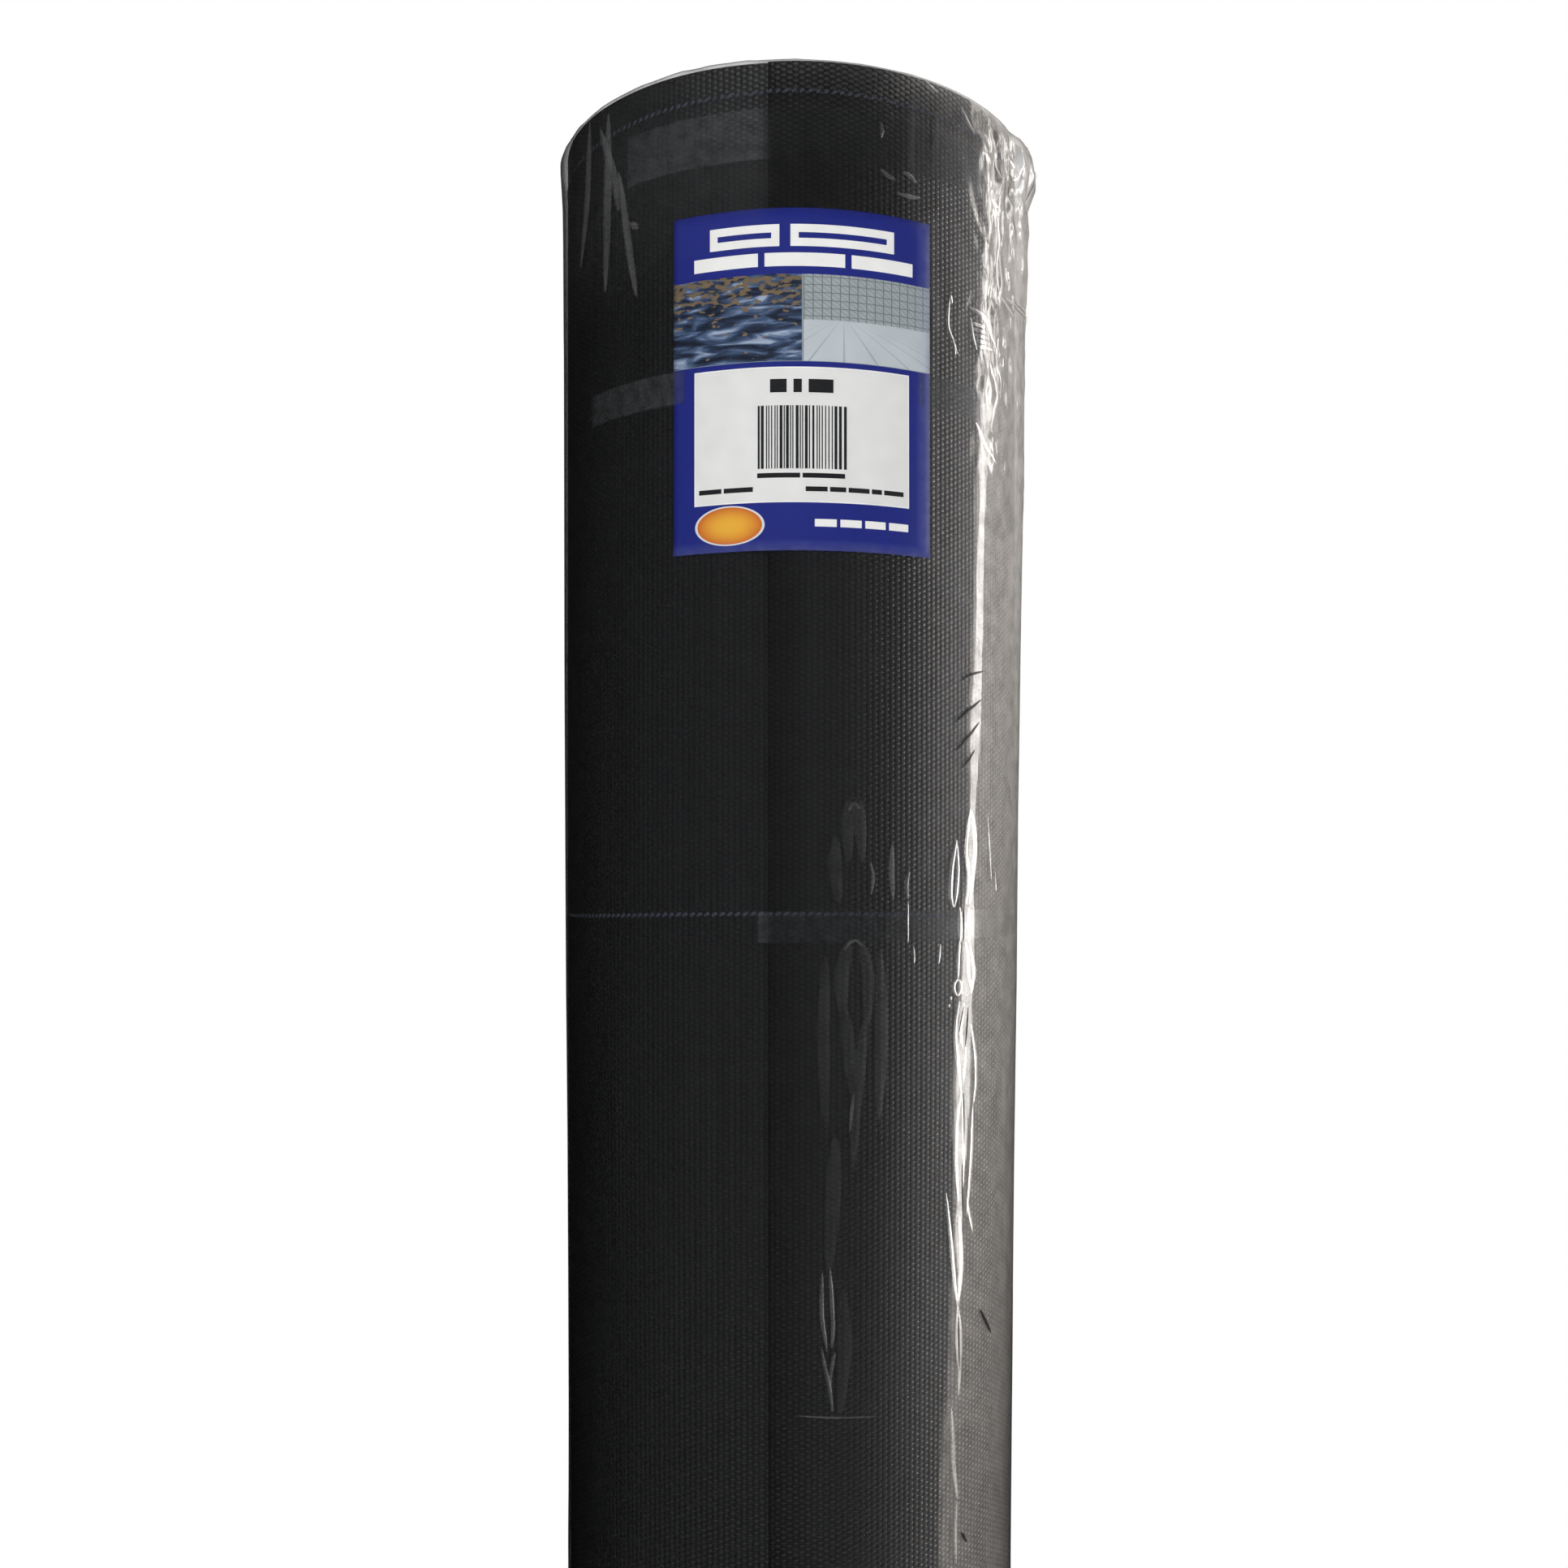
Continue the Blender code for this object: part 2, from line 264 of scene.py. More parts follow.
panel_light(
    "warm_panel", bearing=math.radians(103), height=1.91, distance=2.5, width=0.32, tall=2.83,
    power=18, colour="fffaf6", aim=1.91, lean=math.radians(-27),
)
front = panel_light(
    "front_softbox", bearing=math.radians(-5), height=2.0, distance=2.6, width=1.6, tall=1.6,
    power=47, colour="ffffff", aim=1.4,
)
front.visible_glossy = False

# Core tube
# A 3 in cardboard tube, glued up from strips of kraft paper that wind round it in a spiral. Its
# ends are sawn square, and the seam of the inner and outer strip shows as a fine dark line.
MM = 0.001
CORE_INNER = 76.2 * MM / 2
CORE_OUTER = CORE_INNER + 4 * MM
CORE_STEPS = 96
RIM_BEVEL = 0.4 * MM
# The strips are 95 mm wide, so the seam climbs 95 mm for each turn.
STRIP_CLIMB = 95 * MM
SEAM_SHARE = 0.006
core_low, core_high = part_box("core_tube")


def piece(name, shape, material, smooth_angle=35):
    """Object of a bmesh, smooth but for its sharp edges."""
    made = new_object(name, shape, material)
    made.data.shade_smooth()
    made.data.set_sharp_from_angle(angle=math.radians(smooth_angle))
    return made


kraft, tree = new_material("spiral_wound_kraft_board", "b08d62")
place = add(tree, "TexCoord").outputs["Object"]
split = add(tree, "SeparateXYZ", (place,)).outputs
turns_up = add(tree, "Math", (split["Z"], STRIP_CLIMB), operation="DIVIDE")
turns_round = add(tree, "Math", (bearing_of(tree, split), FULL_TURN), operation="DIVIDE")
climb = add(tree, "Math", (turns_up, turns_round), operation="ADD")
seam = add(tree, "Math", (climb, 0.5), operation="PINGPONG")
seam = add(tree, "Math", (seam, SEAM_SHARE), operation="LESS_THAN")
# Kraft fibres are 2 to 4 mm long and lie along the strip.
along_strip = add(tree, "Mapping", {"Vector": place, "Scale": (1.0, 1.0, 3.0)})
fibres = add(tree, "TexNoise", {"Vector": along_strip, "Scale": 420.0, "Detail": 4.0})
board = add(tree, "Mix", {0: fibres, 6: linear("9a7850"), 7: linear("c4a377")}, data_type="RGBA")
seamed = add(tree, "Mix", {0: seam, 6: board, 7: linear("6f5334")}, data_type="RGBA")
bump = add(tree, "Bump", {"Height": fibres, "Strength": 0.3, "Distance": 0.1 * MM})
dull_board = {"Base Color": seamed, "Roughness": 0.85, "Specular IOR Level": 0.3, "Normal": bump}
finish_material(tree, add(tree, "BsdfPrincipled", dull_board))

core_shape = spun(
    (
        (CORE_INNER, core_low.z),
        (CORE_OUTER, core_low.z),
        (CORE_OUTER, core_high.z),
        (CORE_INNER, core_high.z),
    ),
    CORE_STEPS,
    closed=True,
)
bmesh.ops.recalc_face_normals(core_shape, faces=core_shape.faces)
rims = [
    e
    for e in core_shape.edges
    if len(e.link_faces) == 2 and e.calc_face_angle() > math.radians(60)
]
rounding = {"segments": 2, "profile": 0.5, "affect": "EDGES", "material": -1}
bmesh.ops.bevel(core_shape, geom=rims, offset=RIM_BEVEL, **rounding)
core = piece("core_tube_board", core_shape, kraft)
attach(core, "root")
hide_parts("core_tube")

# Start tape
# A strip of crepe paper tape along the core, under the first ply. The cloth covers it.
CREPE_PITCH = 0.8 * MM
# Blender's wave texture repeats 20 times in one unit of its scale.
WAVES_A_UNIT = 20
crepe, tree = new_material("crepe_paper_tape", "cdb98f")
# Crepe ridges run across the strip.
crepe_lay = {
    "Vector": add(tree, "TexCoord").outputs["Object"],
    "Scale": 1 / CREPE_PITCH / WAVES_A_UNIT,
    "Distortion": 3.0,
    "Detail": 2.0,
}
ridges = add(tree, "TexWave", crepe_lay, bands_direction="Z").outputs["Fac"]
bump = add(tree, "Bump", {"Height": ridges, "Strength": 0.5, "Distance": 0.1 * MM})
tone = add(tree, "Mix", {0: ridges, 6: linear("bfaa7f"), 7: linear("d8c69c")}, data_type="RGBA")
paper = add(tree, "BsdfPrincipled", {"Base Color": tone, "Roughness": 0.7, "Normal": bump})
finish_material(tree, paper)
start_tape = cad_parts["core_start_tape"]
start_tape.data.materials.clear()
start_tape.data.materials.append(crepe)

# Woven web
# 91 m of black cloth, plain-woven from flat polypropylene tapes and wound up tight from the
# core. Its free edge, cut hot, lies down the front of the roll as a soft upright step.
WEB_RADIUS = 95.4 * MM
WEB_INNER = 43.1 * MM
FREE_EDGE = math.radians(-5.6)
# A ply is drawn 1.05 mm thick for the real 0.24 mm, so that the ends show the winding.
LAP_PITCH = 1.05 * MM
LAP_THICKNESS = 0.8 * MM
OUTER_LAPS = 4
# Each lap stays level for this share of a turn, then climbs down under the next one's start.
LEVEL_SHARE = 0.82
EDGE_PRESSED, EDGE_REACH = 0.2 * MM, 5 * MM
STEP_REACH = 25 * MM
# The roll is wound a little tighter below the middle tape: heights in m, depths in mm
WAIST_HEIGHTS = (0.85, 1.05, 1.235, 1.36, 1.48, 1.6)
WAIST_DEPTHS = (0, 1.3, 2.2, 1.3, 0.25, 0)
web_low, web_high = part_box("woven_web")


def round_roll(radius, angle, height):
    """Points round the roll's axis; the angle goes from the front, -Y, towards +X."""
    radius, angle, height = np.broadcast_arrays(radius, angle, height)
    return np.stack([radius * np.sin(angle), -radius * np.cos(angle), height], axis=-1)


def smooth(share):
    """Share from 0 to 1, eased at both ends."""
    return share * share * (3 - 2 * share)


def from_free_edge(angle):
    return np.mod(angle - FREE_EDGE, FULL_TURN)


def waist(angle, height):
    """How far the cloth draws in below the middle tape, a little more on the right."""
    depth = np.interp(height, WAIST_HEIGHTS, WAIST_DEPTHS)
    return -depth * MM * (1 + 0.3 * np.sin(angle))


def dents(angle, height):
    """Soft hollows and swells of the wound cloth, the same in every lap."""
    slow = 0.16 * np.sin(3 * angle + 2.3 * height) + 0.12 * np.sin(5 * angle - 6.1 * height + 1.0)
    quick = 0.07 * np.sin(11 * angle + 9.0 * height) * np.sin(17.0 * height + 2 * angle)
    return (slow + quick) * MM


def lap_radius(travel, height):
    """Outer face of the cloth, travel radians in from the free edge."""
    turns = travel / FULL_TURN
    down = np.clip((np.mod(turns, 1.0) - LEVEL_SHARE) / (1 - LEVEL_SHARE), 0, 1)
    down = np.floor(turns) + smooth(down)
    pressed = EDGE_PRESSED * np.exp(-travel * WEB_RADIUS / EDGE_REACH)
    round_web = WEB_RADIUS - LAP_PITCH * down
    outwards = (round_web - WEB_INNER) / (WEB_RADIUS - WEB_INNER)
    shape = outwards * waist(FREE_EDGE + travel, height) + dents(FREE_EDGE + travel, height)
    return round_web + shape - pressed


def over_step(angle, height):
    """Outer face of the outermost cloth, which left of the free edge comes down over a short reach."""
    travel = from_free_edge(angle)
    back = (FULL_TURN - travel) * WEB_RADIUS
    top = lap_radius(np.zeros_like(travel), height)
    under = lap_radius(travel, height)
    eased = under + (top - under) * smooth(np.clip(1 - back / STEP_REACH, 0, 1))
    return np.where(back < STEP_REACH, eased, under)


def bent_sheet(name, places, maps, material, thickness=0):
    """Grid moved to places[row, column], with maps[row, column] as its UV in metres.

    Its thickness goes inwards from these places."""
    rows, columns = places.shape[0] - 1, places.shape[1] - 1
    shape = bmesh.new()
    bmesh.ops.create_grid(shape, x_segments=columns, y_segments=rows, size=1.0)
    made = new_object(name, shape, material)
    mesh = made.data
    mesh.vertices.foreach_set("co", places.reshape(-1).astype(np.float32))
    corners = np.zeros(len(mesh.loops), np.int32)
    mesh.loops.foreach_get("vertex_index", corners)
    layer = mesh.uv_layers.new(name="cloth")
    layer.data.foreach_set("uv", maps.reshape(-1, 2)[corners].reshape(-1).astype(np.float32))
    mesh.update()
    mesh.shade_smooth()
    mesh.set_sharp_from_angle(angle=math.radians(40))
    if thickness:
        wall = made.modifiers.new("thickness", "SOLIDIFY")
        wall.thickness = thickness
        wall.offset = -1
    return made


def both(first, second):
    """UV map of two measures, each given for rows, for columns or for both."""
    return np.stack(np.broadcast_arrays(first, second), axis=-1)


woven, tree = new_material("woven_polypropylene_tape", "1d1e1f")
# 24 flat tapes to the inch run round the roll and 11 to the inch run up it.
WARP_PITCH = 25.4 * MM / 24
WEFT_PITCH = 25.4 * MM / 11
cloth = add(tree, "UVMap", uv_map="cloth")
split = add(tree, "SeparateXYZ", (cloth,)).outputs
weft_wave = add(tree, "Math", (split["X"], math.pi / WEFT_PITCH), operation="MULTIPLY")
weft_wave = add(tree, "Math", (weft_wave,), operation="SINE")
warp_wave = add(tree, "Math", (split["Y"], math.pi / WARP_PITCH), operation="MULTIPLY")
warp_wave = add(tree, "Math", (warp_wave,), operation="SINE")
warp_sign = add(tree, "Math", (warp_wave,), operation="SIGN")
weft_sign = add(tree, "Math", (weft_wave,), operation="SIGN")
warp_arch = add(tree, "Math", (weft_wave, warp_sign), operation="MULTIPLY")
weft_arch = add(tree, "Math", (warp_wave, weft_sign), operation="MULTIPLY")
weft_arch = add(tree, "Math", (weft_arch, -1.0), operation="MULTIPLY")
warp_crown = add(tree, "Math", (warp_wave,), operation="ABSOLUTE")
warp_crown = add(tree, "Math", (warp_crown, 0.5), operation="POWER")
weft_crown = add(tree, "Math", (weft_wave,), operation="ABSOLUTE")
weft_crown = add(tree, "Math", (weft_crown, 0.85), operation="POWER")
warp_height = add(tree, "Math", (warp_crown, 0.25), operation="MULTIPLY")
warp_height = add(tree, "Math", (warp_arch, 0.4, warp_height), operation="MULTIPLY_ADD")
weft_height = add(tree, "Math", (weft_arch, 0.5, weft_crown), operation="MULTIPLY_ADD")
height = add(tree, "Math", (warp_height, weft_height), operation="MAXIMUM")
warp_on_top = add(tree, "Math", (warp_height, weft_height), operation="GREATER_THAN")
# Painted shade: the base colour darkens towards the gaps between the upright tapes.
gap_shade = add(tree, "Math", (1.0, weft_crown), operation="SUBTRACT")
gap_shade = add(tree, "Math", (gap_shade, 0.9), operation="MULTIPLY")
# Each tape is slit and stretched a little differently, so tone and gloss change from tape to tape.
along_tapes = add(tree, "Mapping", {"Vector": cloth, "Scale": (430.0, 6.0, 1.0)})
streaks = add(tree, "TexNoise", {"Vector": along_tapes, "Scale": 1.0, "Detail": 2.0})
tone = add(tree, "Mix", {0: streaks, 6: linear("161718"), 7: linear("242628")}, data_type="RGBA")
gap_shaded_tone = add(tree, "Mix", {0: gap_shade, 6: tone, 7: linear("0a0b0c")}, data_type="RGBA")
# Painted shade: the base colour darkens for 14 mm from the cloth's free end, and further round near the
# top.
end_band = add(tree, "MapRange", (split["X"], 3 * MM, 19 * MM, 0.5, 0.0), **SMOOTHLY)
top_reach = add(tree, "MapRange", (split["X"], 25 * MM, 75 * MM, 0.6, 0.0), **SMOOTHLY)
near_top = add(tree, "MapRange", (split["Y"], 1.752, 1.778), **SMOOTHLY)
painted_end_shade = add(tree, "Math", (top_reach, near_top), operation="MULTIPLY")
painted_end_shade = add(tree, "Math", (end_band, painted_end_shade), operation="MAXIMUM")
end_shaded_tone = add(tree, "Mix", {0: painted_end_shade, 6: gap_shaded_tone, 7: linear("020305")}, data_type="RGBA")
roughness = add(tree, "MapRange", {"Value": streaks, "To Min": 0.27, "To Max": 0.33})
roughness = add(tree, "Math", (warp_on_top, 0.36, roughness), operation="MULTIPLY_ADD")
satin_tape = {
    "Base Color": end_shaded_tone,
    "Roughness": roughness,
    "Specular IOR Level": 1.0,
    "IOR": 1.62,
    "Normal": add(tree, "Bump", {"Height": height, "Strength": 1.0, "Distance": 0.27 * MM}),
}
finish_material(tree, add(tree, "BsdfPrincipled", satin_tape))

FINE_COLUMNS = 192
LAP_COLUMNS = 64
OUTER_ROWS, INNER_ROWS = 44, 9
# The cloth's edges wander by up to this much, and stop short of the solid's ends.
RAGGED = 0.12 * MM
END_MARGIN = 0.3 * MM
# The innermost lap keeps this gap to the plies next to the core.
INNER_GAP = 0.35 * MM
LENGTH_MEASURED_AT = 1.7


def wound_band(name, travels, rows):
    """Band of the cloth from the first travel to the last, as tall as the web is wide."""
    share = np.linspace(0, 1, rows + 1)[:, None]
    travels = np.asarray(travels)[None, :]
    wander = RAGGED * (np.sin(travels * 0.37) + np.sin(travels * 1.7 + 1.0) + np.sin(travels * 4.3))
    low = web_low.z + END_MARGIN + wander
    high = web_high.z - END_MARGIN + wander
    heights = low + (high - low) * share
    places = round_roll(lap_radius(travels, heights), FREE_EDGE + travels, heights)
    return bent_sheet(name, places, both(travels * WEB_RADIUS, heights), woven, LAP_THICKNESS)


fine = np.linspace(0, FULL_TURN, FINE_COLUMNS + 1)
coarse = np.linspace(FULL_TURN, OUTER_LAPS * FULL_TURN, (OUTER_LAPS - 1) * LAP_COLUMNS + 1)
outer_travels = np.concatenate([fine, coarse[1:]])
outer_cloth = wound_band("web_outer_laps", outer_travels, OUTER_ROWS)
inner_turns = (WEB_RADIUS - WEB_INNER - LAP_THICKNESS - INNER_GAP) / LAP_PITCH - OUTER_LAPS
inner_travels = np.linspace(
    OUTER_LAPS * FULL_TURN, (OUTER_LAPS + inner_turns) * FULL_TURN, int(inner_turns * LAP_COLUMNS) + 1
)
inner_cloth = wound_band("web_inner_laps", inner_travels, INNER_ROWS)
for cloth_piece, travels in ((outer_cloth, outer_travels), (inner_cloth, inner_travels)):
    radii = lap_radius(travels[[0, -1]], LENGTH_MEASURED_AT)
    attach(cloth_piece, "root")
    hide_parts("woven_web")

# Marker yarns
# One violet yarn every 12 in, woven in with the black tapes. It shows as a line of short
# slanted dashes where it passes over them.
DASH_PITCH = 3 * MM
DASH_COLUMNS = 6
DASH_RISE, DASH_SLANT = 0.20 * MM, 0.35 * MM
YARN_SIDES = 6
YARN_HALF_WIDTH = 0.75 * MM
YARN_HALF_THICKNESS = 0.16 * MM
YARN_PROUD = 0.02 * MM
# The top one lies deeper, pressed by the film's fold.
TOP_SUNK, SUNK = 0.12 * MM, 0.04 * MM
# The web was wound a little askew, so a yarn rises at the front and sinks at the sides.
YARN_ASKEW = 1.5 * MM
YARN_START, YARN_SHORT = 0.002, 0.004

yarn, tree = new_material("violet_marker_yarn", "4a4f78")
place = add(tree, "TexCoord").outputs["Object"]
# The yarn's filaments are too fine to show; they are drawn 0.4 mm apart.
filaments = add(tree, "TexNoise", {"Vector": place, "Scale": 2500.0, "Detail": 2.0})
tone = add(tree, "Mix", {0: filaments, 6: linear("2c2e3a"), 7: linear("424556")}, data_type="RGBA")
bump = add(tree, "Bump", {"Height": filaments, "Strength": 0.4, "Distance": 0.05 * MM})
spun_yarn = {"Base Color": tone, "Roughness": 0.55, "Sheen Weight": 0.1, "Normal": bump}
finish_material(tree, add(tree, "BsdfPrincipled", spun_yarn))

for number in range(1, 7):
    low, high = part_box(f"marker_yarn_{number}")
    middle = (low.z + high.z) / 2
    sunk = TOP_SUNK if number == 1 else SUNK
    dashes = int(FULL_TURN * WEB_RADIUS / DASH_PITCH)
    travels = np.linspace(YARN_START, FULL_TURN - YARN_SHORT, dashes * DASH_COLUMNS + 1)[None, :]
    phase = travels / (travels.max()) * dashes * FULL_TURN
    around = np.linspace(0, FULL_TURN, YARN_SIDES + 1)[:, None]
    askew = YARN_ASKEW * np.cos(2 * (FREE_EDGE + travels))
    heights = middle + askew + DASH_SLANT * np.sin(phase - 1.2)
    heights = heights - YARN_HALF_WIDTH * np.sin(around) * (0.8 + 0.25 * np.sin(phase))
    radii = lap_radius(travels, np.full_like(travels, middle)) + DASH_RISE * np.sin(phase)
    radii = radii - YARN_HALF_THICKNESS * np.cos(around) + YARN_PROUD - sunk
    places = round_roll(radii, FREE_EDGE + travels, heights)
    maps = both(travels * WEB_RADIUS, around * YARN_HALF_WIDTH)
    made = bent_sheet(f"marker_yarn_{number}_strand", places, maps, yarn)
    shape = bmesh.new()
    shape.from_mesh(made.data)
    bmesh.ops.remove_doubles(shape, verts=shape.verts, dist=1e-6)
    bmesh.ops.holes_fill(shape, edges=[e for e in shape.edges if e.is_boundary])
    bmesh.ops.recalc_face_normals(shape, faces=shape.faces)
    shape.to_mesh(made.data)
    shape.free()
    made.data.shade_smooth()
    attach(made, "root")
    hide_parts(f"marker_yarn_{number}")

# Label
# A printed paper label, 4 by 5 in, laid round the front under the film. Its print is generic:
# plain bars and stripes, an oval badge, and two picture fields, of water and of a floor.
PRINT_WIDE, PRINT_TALL = 101.6, 127
LABEL_WIDTH = PRINT_WIDE * MM
LABEL_LEFT = math.radians(-28.2)
LABEL_RIGHT = LABEL_LEFT + LABEL_WIDTH / WEB_RADIUS
LABEL_THICKNESS = 0.12 * MM
LABEL_GAP = 0.12 * MM
BLUE, PALE, INK, WHITE = "1b2784", "e9e9e8", "202124", "f7f7f5"
# What fills a field: its own ink, or one of the two pictures
FLAT, WATER, FLOOR = 0.0, 1.0, 2.0
# Printed fields: left, top, right and bottom edge in mm from the label's upper left corner
fields = [
    ((0, 24.5, PRINT_WIDE, 56.9), "8d99a0", FLAT),
    ((0, 24.5, 50.2, 56.7), "3d4a5c", WATER),
    ((50.9, 24.5, PRINT_WIDE, 56.7), "b9c2c6", FLOOR),
    ((8.9, 58.9, 92.4, 109.1), WHITE, FLAT),
    ((9.4, 59.4, 91.9, 108.6), PALE, FLAT),
]
# Lines of bars: left, right, top and bottom in mm, each bar's share, the ink, and a line inside
BAR_LINES = (
    (15.2, 86.0, 6.0, 14.2, (4, 6), WHITE, BLUE),
    (8.8, 94.0, 16.6, 21.6, (5, 6, 5), WHITE, None),
    (38.4, 62.0, 63.4, 68.4, (2, 1, 3), INK, None),
    (10.8, 32.0, 103.2, 105.0, (4, 5), INK, None),
    (51.6, 90.0, 103.2, 105.0, (4, 3, 4, 2, 4), INK, None),
    (55.0, 92.0, 115.2, 118.0, (3, 3, 3, 3), WHITE, None),
    (33.6, 66.4, 98.2, 100.0, (5, 5), INK, None),
)
STRIPES_LEFT, STRIPES_RIGHT = 33.8, 66.0
STRIPES_TOP, STRIPES_BOTTOM = 73.2, 96.6
# Lines of the label's mesh nearer than this, in mm, are one line.
MERGED = 0.02
# The paper curls up along its right and lower edges, over so many mm and by so much.
SIDE_CURL, FOOT_CURL = (5.6, 0.35 * MM), (5, 0.5 * MM)
# Measures inside the pictures and of the badge, from the label's lower left corner
VANISHING_X, VANISHING_Y = 66 * MM, 87.5 * MM
HORIZON_FROM, HORIZON_TO = 85.4 * MM, 85.8 * MM
POST_PITCH, BRACE_PITCH, BEAM_PITCH = 3.4 * MM, 2.6 * MM, 2.9 * MM
BADGE_X, BADGE_HALF_WIDE = 22.8 * MM, 13.6 * MM
BADGE_Y, BADGE_HALF_TALL = 9.8 * MM, 7.4 * MM
label_low, label_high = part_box("roll_label")

for left, right, top, bottom, shares, colour, inside in BAR_LINES:
    space = 0.5 * (bottom - top)
    inset = 0.37 * (bottom - top)
    scale = ((right - left) - space * (len(shares) - 1)) / sum(shares)
    at = left
    for share in shares:
        wide = share * scale
        fields.append(((at, top, at + wide, bottom), colour, FLAT))
        if inside:
            fields.append(((at + inset, top + inset, at + wide - inset, bottom - inset), inside, FLAT))
        at += wide + space
stripes = random.Random(7)
at = STRIPES_LEFT
while at < STRIPES_RIGHT:
    wide = stripes.choice((0.45, 0.45, 0.8, 1.1))
    fields.append(((at, STRIPES_TOP, at + wide, STRIPES_BOTTOM), INK, FLAT))
    at += wide + stripes.choice((0.4, 0.6, 0.8))


def mesh_lines(size, count, first, last):
    """Places in mm of the label's mesh lines: even ones, and both edges of every field."""
    edges = {round(v, 3) for box, _, _ in fields for v in (box[first], box[last])}
    marks = sorted(edges | {round(v, 3) for v in np.linspace(0, size, count)})
    kept = [v for v, w in zip(marks, marks[1:] + [math.inf]) if w - v > MERGED or w == size]
    kept[0], kept[-1] = 0, size
    return np.array(kept)


across = mesh_lines(PRINT_WIDE, 41, 0, 2)
down = mesh_lines(PRINT_TALL, 33, 1, 3)
from_top = down[::-1][:, None]
heights = label_high.z - from_top * MM
angles = (LABEL_LEFT + across * MM / WEB_RADIUS)[None, :]
radii = over_step(angles, heights) + LABEL_GAP + LABEL_THICKNESS
for at, size, (reach, lift) in (
    (across[None, :], PRINT_WIDE, SIDE_CURL), (from_top, PRINT_TALL, FOOT_CURL)
):
    radii = radii + lift * np.clip((at - size + reach) / reach, 0, 1) ** 2
places = round_roll(radii, angles, heights)
maps = both(across[None, :] * MM, (PRINT_TALL - from_top) * MM)

print_paper, tree = new_material("printed_label_paper", BLUE)
ink = add(tree, "Attribute", attribute_name="ink").outputs["Color"]
picture = add(tree, "Attribute", attribute_name="picture").outputs["Fac"]
paper_map = add(tree, "UVMap", uv_map="cloth")
split = add(tree, "SeparateXYZ", (paper_map,)).outputs
# Left picture field: water in long dark ripples, with brown and green leaves on its upper half.
ripple_lay = add(tree, "Mapping", {"Vector": paper_map, "Scale": (70.0, 340.0, 1.0)})
ripples = {"Vector": ripple_lay, "Scale": 1.0, "Detail": 4.0, "Distortion": 0.6}
water = add(tree, "ValToRGB", (add(tree, "TexNoise", ripples),))
depths = ((0.38, "1a2334"), (0.48, "2c3c58"), (0.58, "546a8c"), (0.68, "a3b2c8"))
fill_ramp(water.color_ramp, [(place, linear(colour)) for place, colour in depths])
leaf_lay = {"Vector": paper_map, "Scale": (260.0, 600.0, 1.0), "Location": (3, 5, 0)}
leaf_lay = add(tree, "Mapping", leaf_lay)
leaf_noise = add(tree, "TexNoise", {"Vector": leaf_lay, "Scale": 1.0, "Detail": 2.0})
leaves_up = add(tree, "MapRange", (split["Y"], 80 * MM, 99 * MM, -0.12, 0.08))
leaves = add(tree, "Math", (leaf_noise, leaves_up), operation="ADD")
leaves = add(tree, "Math", (leaves, 0.57), operation="GREATER_THAN")
leaf_tones = {0: leaf_noise, 6: linear("3c4a2c"), 7: linear("8f7460")}
leaf_tone = add(tree, "Mix", leaf_tones, data_type="RGBA")
left_picture = add(tree, "Mix", {0: leaves, 6: water, 7: leaf_tone}, data_type="RGBA")
# Right picture field: a pale floor whose rows run to one point, under a fine dark lattice.
below = add(tree, "Math", (VANISHING_Y, split["Y"]), operation="SUBTRACT")
rows = add(tree, "Math", (split["X"], VANISHING_X), operation="SUBTRACT")
for operation, value in (
    ("DIVIDE", below), ("MULTIPLY", 1.3), ("PINGPONG", 0.5), ("LESS_THAN", 0.035), ("MULTIPLY", 0.7)
):
    rows = add(tree, "Math", (rows, value), operation=operation)
pale_floor = add(tree, "Mix", {0: rows, 6: linear("c3cbd0"), 7: linear("97a3a9")}, data_type="RGBA")
slanted = add(tree, "Math", (split["Y"], 1.4, split["X"]), operation="MULTIPLY_ADD")
bars = []
for crossed, pitch in ((split["X"], POST_PITCH), (slanted, BRACE_PITCH), (split["Y"], BEAM_PITCH)):
    bar = add(tree, "Math", (crossed, pitch), operation="DIVIDE")
    bars.append(add(tree, "Math", (bar, 0.5), operation="PINGPONG"))
lattice = add(tree, "Math", bars[1:], operation="MINIMUM")
for operation, value in (("MINIMUM", bars[0]), ("LESS_THAN", 0.055), ("MULTIPLY", 0.75)):
    lattice = add(tree, "Math", (lattice, value), operation=operation)
lattice = add(tree, "Mix", {0: lattice, 6: linear("a4adb1"), 7: linear("59615f")}, data_type="RGBA")
horizon = add(tree, "MapRange", (split["Y"], HORIZON_FROM, HORIZON_TO))
right_picture = add(tree, "Mix", {0: horizon, 6: pale_floor, 7: lattice}, data_type="RGBA")
printed = ink
for kind, drawn in ((WATER, left_picture), (FLOOR, right_picture)):
    chosen = add(tree, "Math", (picture, kind, 0.1), operation="COMPARE")
    printed = add(tree, "Mix", {0: chosen, 6: printed, 7: drawn}, data_type="RGBA")
# The badge is a plain orange oval with a pale rim.
squares = []
for measure, middle, half in (
    (split["X"], BADGE_X, BADGE_HALF_WIDE), (split["Y"], BADGE_Y, BADGE_HALF_TALL)
):
    off = add(tree, "Math", (measure, middle), operation="SUBTRACT")
    off = add(tree, "Math", (off, half), operation="DIVIDE")
    squares.append(add(tree, "Math", (off, off), operation="MULTIPLY"))
badge = add(tree, "Math", (add(tree, "Math", squares, operation="ADD"),), operation="SQRT")
glow = add(tree, "Math", (badge, 2.0), operation="POWER")
glow = add(tree, "Mix", {0: glow, 6: linear("f0b63c"), 7: linear("c9551f")}, data_type="RGBA")
for edge, colour in ((1.0, linear("dfe3e4")), (0.93, glow)):
    inside = add(tree, "Math", (badge, edge), operation="LESS_THAN")
    printed = add(tree, "Mix", {0: inside, 6: printed, 7: colour}, data_type="RGBA")
